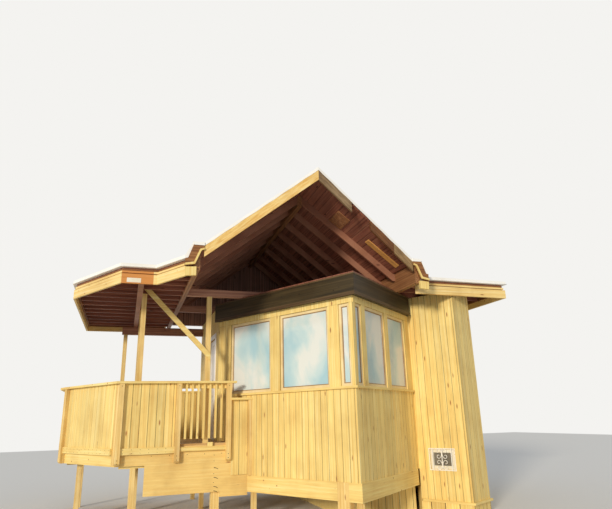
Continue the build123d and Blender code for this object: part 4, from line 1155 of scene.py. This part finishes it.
# %% Mottled finishes
def mottled(name, spots, stops, shine, relief=None):
    """Colour = ramp of a noise in space; bump = a second noise, with a strength and a depth in metres."""
    tree = blank(name)
    coords = add(tree, "TexCoord")
    spots = add(tree, "TexNoise", spots, {"Vector": (coords, "Object")})
    colour = add(tree, "ValToRGB", links={"Fac": (spots, "Fac")}, stops=stops)
    links = {"Base Color": (colour, 0)}
    if relief:
        noise, strength, depth = relief
        wave = add(tree, "TexNoise", noise, {"Vector": (coords, "Object")})
        bump = {"Strength": strength, "Distance": depth}
        links["Normal"] = (add(tree, "Bump", bump, {"Height": (wave, "Fac")}), 0)
    shader = add(tree, "BsdfPrincipled", shine, links)
    add(tree, "OutputMaterial", links={"Surface": (shader, "BSDF")})


dust = [(0.35, "#F7F5EF"), (0.60, "#F1EEE6"), (0.85, "#E2DCD0")]
patches = {"Scale": 1.6, "Detail": 6.0, "Roughness": 0.6}
satin = {"Roughness": 0.5, "Specular IOR Level": 0.4}
mottled("welded_roof_membrane", patches, dust, satin, ({"Scale": 3.0, "Detail": 2.0}, 0.25, 0.012))
enamel = {"Roughness": 0.3, "Specular IOR Level": 0.5}
specks = {"Scale": 60.0, "Detail": 4.0}
rust = [(0.62, "#EFEDE6"), (0.70, "#A5653A")]
mottled("enamelled_wrought_iron", specks, rust, enamel, (specks, 0.3, 0.001))
worn = [(0.4, "#3A3029"), (0.65, "#6B4A33")]
steel = {"Metallic": 0.6, "Roughness": 0.5}
mottled("blackened_screw_steel", {"Scale": 300.0, "Detail": 2.0}, worn, steel)

# %% [markdown]
# ## Brushed paint
# The door is painted white and the low window cream. The frames of the upper windows have a honey-coloured
# paint, near the bare pine, and the beads that hold their glass are brown. A brush leaves fine strokes, and
# the paint yellows in patches.

# %% Brushed paint
STROKE_LENGTH = 0.120
STROKE_WIDTH = 0.002  # bristle marks, drawn as coarse as they need to show
LOW_WINDOW_TOP = 1.200
CREAM = ("#F1EBDA", "#E4DAC0")


def changed_low(tree, coords, colour, other):
    """One colour above the top of the low window, and another below it."""
    split = add(tree, "SeparateXYZ", links={"Vector": (coords, "Object")})
    low = add(tree, "Math", {1: LOW_WINDOW_TOP}, {0: (split, "Z")}, operation="LESS_THAN")
    return add(tree, "MixRGB", links={"Fac": (low, 0), "Color1": (colour, 0), "Color2": (other, 0)})


def brushed_paint(name, fresh, worn):
    """Paint between two colours in patches, and cream below the low window's top; bump = bristle strokes."""
    tree = blank(name)
    coords = add(tree, "TexCoord")
    stroke_size = {"Scale": (1 / STROKE_WIDTH, 1 / STROKE_WIDTH, 1 / STROKE_LENGTH)}
    strokes_at = add(tree, "Mapping", stroke_size, {"Vector": (coords, "Object")})
    strokes = add(tree, "TexNoise", {"Scale": 1.0, "Detail": 2.0}, {"Vector": (strokes_at, 0)})
    patches = add(tree, "TexNoise", {"Scale": 3.0, "Detail": 4.0}, {"Vector": (coords, "Object")})
    pairs = [[(0.35, first), (0.65, second)] for first, second in ((fresh, worn), CREAM)]
    both = [add(tree, "ValToRGB", links={"Fac": (patches, "Fac")}, stops=stops) for stops in pairs]
    colour = changed_low(tree, coords, *both)
    bump = add(tree, "Bump", {"Strength": 0.2, "Distance": 0.0008}, {"Height": (strokes, "Fac")})
    links = {"Base Color": (colour, 0), "Normal": (bump, 0)}
    shader = add(tree, "BsdfPrincipled", {"Roughness": 0.38, "Specular IOR Level": 0.5}, links)
    add(tree, "OutputMaterial", links={"Surface": (shader, "BSDF")})


brushed_paint("brushed_cream_paint", *CREAM)
brushed_paint("white_painted_door", "#FCFBF7", "#F4F0E7")
brushed_paint("honey_painted_frames", "#F0DCAC", "#E2C88E")
brushed_paint("brown_glazing_beads", "#B08A5A", "#8E6A42")

# %% [markdown]
# ## Window glass
# Float glass seen from outside mirrors pale daylight and lets little of the dark room through, so its colour
# is a painted reflection: a pale blue pane, mostly opaque to the eye, in soft uneven patches. The low window
# mirrors hardly any, so below a height the same glass is painted dim and brown, and the white grille stands
# out from it.

# %% Glass
tree = blank("painted_reflection_glass")
coords = add(tree, "TexCoord")
# painted reflection: pale blue in patches above the low window's top, dim brown below it
reflection_patches_at = add(tree, "Mapping", {"Scale": (1.0, 1.0, 0.65)}, {"Vector": (coords, "Object")})
reflection_patches = {"Scale": 1.7, "Detail": 4.0, "Distortion": 0.4}
reflection_patches = add(tree, "TexNoise", reflection_patches, {"Vector": (reflection_patches_at, 0)})
stops = [(0.36, "#B2D8E2"), (0.50, "#D2E8E8"), (0.62, "#F0F3EC")]
pale = add(tree, "ValToRGB", links={"Fac": (reflection_patches, "Fac")}, stops=stops)
stops = [(0.35, "#6A645A"), (0.65, "#8C8678")]
dim = add(tree, "ValToRGB", links={"Fac": (reflection_patches, "Fac")}, stops=stops)
pane = {"Roughness": 0.06, "IOR": 1.5, "Transmission Weight": 0.15}
shader = add(tree, "BsdfPrincipled", pane, {"Base Color": (changed_low(tree, coords, pale, dim), 0)})
add(tree, "OutputMaterial", links={"Surface": (shader, "BSDF")})

# %% [markdown]
# ## A finish for every piece
# Each CAD node and each new piece gets its one material here. The CAD meshes themselves stay as they are.

# %% CAD nodes
node_finishes = {
    "planed_pine_deck_boards": "deck_floor room_floor",
    "sawn_fir_joists": "floor_joists",
    "sawn_pine_level": "deck_beams deck_rims foot_rails baluster_rail handrails wall_sills knee_brace",
    "sawn_pine_upright": "balusters",
    "sawn_fir_posts": "ground_posts rail_posts roof_posts",
    "rotary_cut_plywood": "front_skirt",
    "board_backs": "left_panel side_panels front_panels left_face_wall right_face_wall front_wall right_wall"
    " back_wall left_wall lower_side_wall",
    "white_painted_door": "door",
    "honey_painted_frames": "window_frames",
    "painted_reflection_glass": "window_glass",
    "enamelled_wrought_iron": "window_grille",
    "dark_and_shaded_header_board": "header",
    "stain_and_shade_tie_beams": "roof_beams",
    "stain_and_shade_wing_joists": "wing_joists",
    "stain_and_shade_wing_boards": "wing_boards",
    "welded_roof_membrane": "wing_roofs gable_skin",
    "shade_brown_fascia_boards": "upper_fascias",
    "new_fascia_boards": "lower_fascias",
    "stain_and_shade_left_slope": "left_gable_boards",
    "stain_and_shade_right_slope": "right_gable_boards",
    "new_barge_board": "left_barge_boards",
    "shade_grey_barge_board": "right_barge_boards",
    "brown_eave_beams": "eave_beams ridge_beam",
    "stain_and_shade_rafters": "gable_rafters",
    "stain_and_shade_gable_wall": "back_gable",
}
for finish, names in node_finishes.items():
    for name in names.split():
        nodes[name].data.materials.clear()
        nodes[name].data.materials.append(finishes[finish])
bare = set(nodes) - set(" ".join(node_finishes.values()).split())
print("CAD nodes without a finish:", sorted(bare))

# %% New pieces
piece_finishes = {
    "brown_glazing_beads": "glazing_beads",
    "honey_painted_frames": "window_casings",
    "white_painted_door": "door_casing door_stiles",
    "brushed_cream_paint": "fascia_plate",
    "blackened_screw_steel": "door_handle post_screws front_rail_screws slanted_rail_screws skirt_nails"
    " bent_nails",
    "stain_and_shade_wing_boards": "corner_lid",
    "welded_roof_membrane": "gable_laps wing_laps ridge_strip left_folded_edge right_folded_edge"
    " left_upstand_fold right_upstand_fold left_rolled_edge right_rolled_edge",
    "brown_header_strip": "left_header_strips right_header_strips",
    "shade_brown_fascia_boards": "left_upstand_board right_upstand_board",
    "weathered_plywood_offcut": "soffit_offcut",
    "amber_pine_offcut": "soffit_board",
}
finish_of = {name: finish for finish, names in piece_finishes.items() for name in names.split()}
for name, piece in pieces.items():
    piece.data.materials.append(finishes[finish_of.get(name, "sawn_pine_upright")])
print("new pieces:", len(pieces), "of them plain pine:", len(pieces) - len(finish_of))

# %% [markdown]
# ## Size
# The dressed model's box is set against the CAD's box, and the growth is printed in millimetres. The
# dressed model must stay in the CAD's box.

# %% Finish
visual_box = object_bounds()
growth = 1000 * (np.array(visual_box) - np.array(cad_box))
print("grown by (mm):", growth.round(1).tolist())
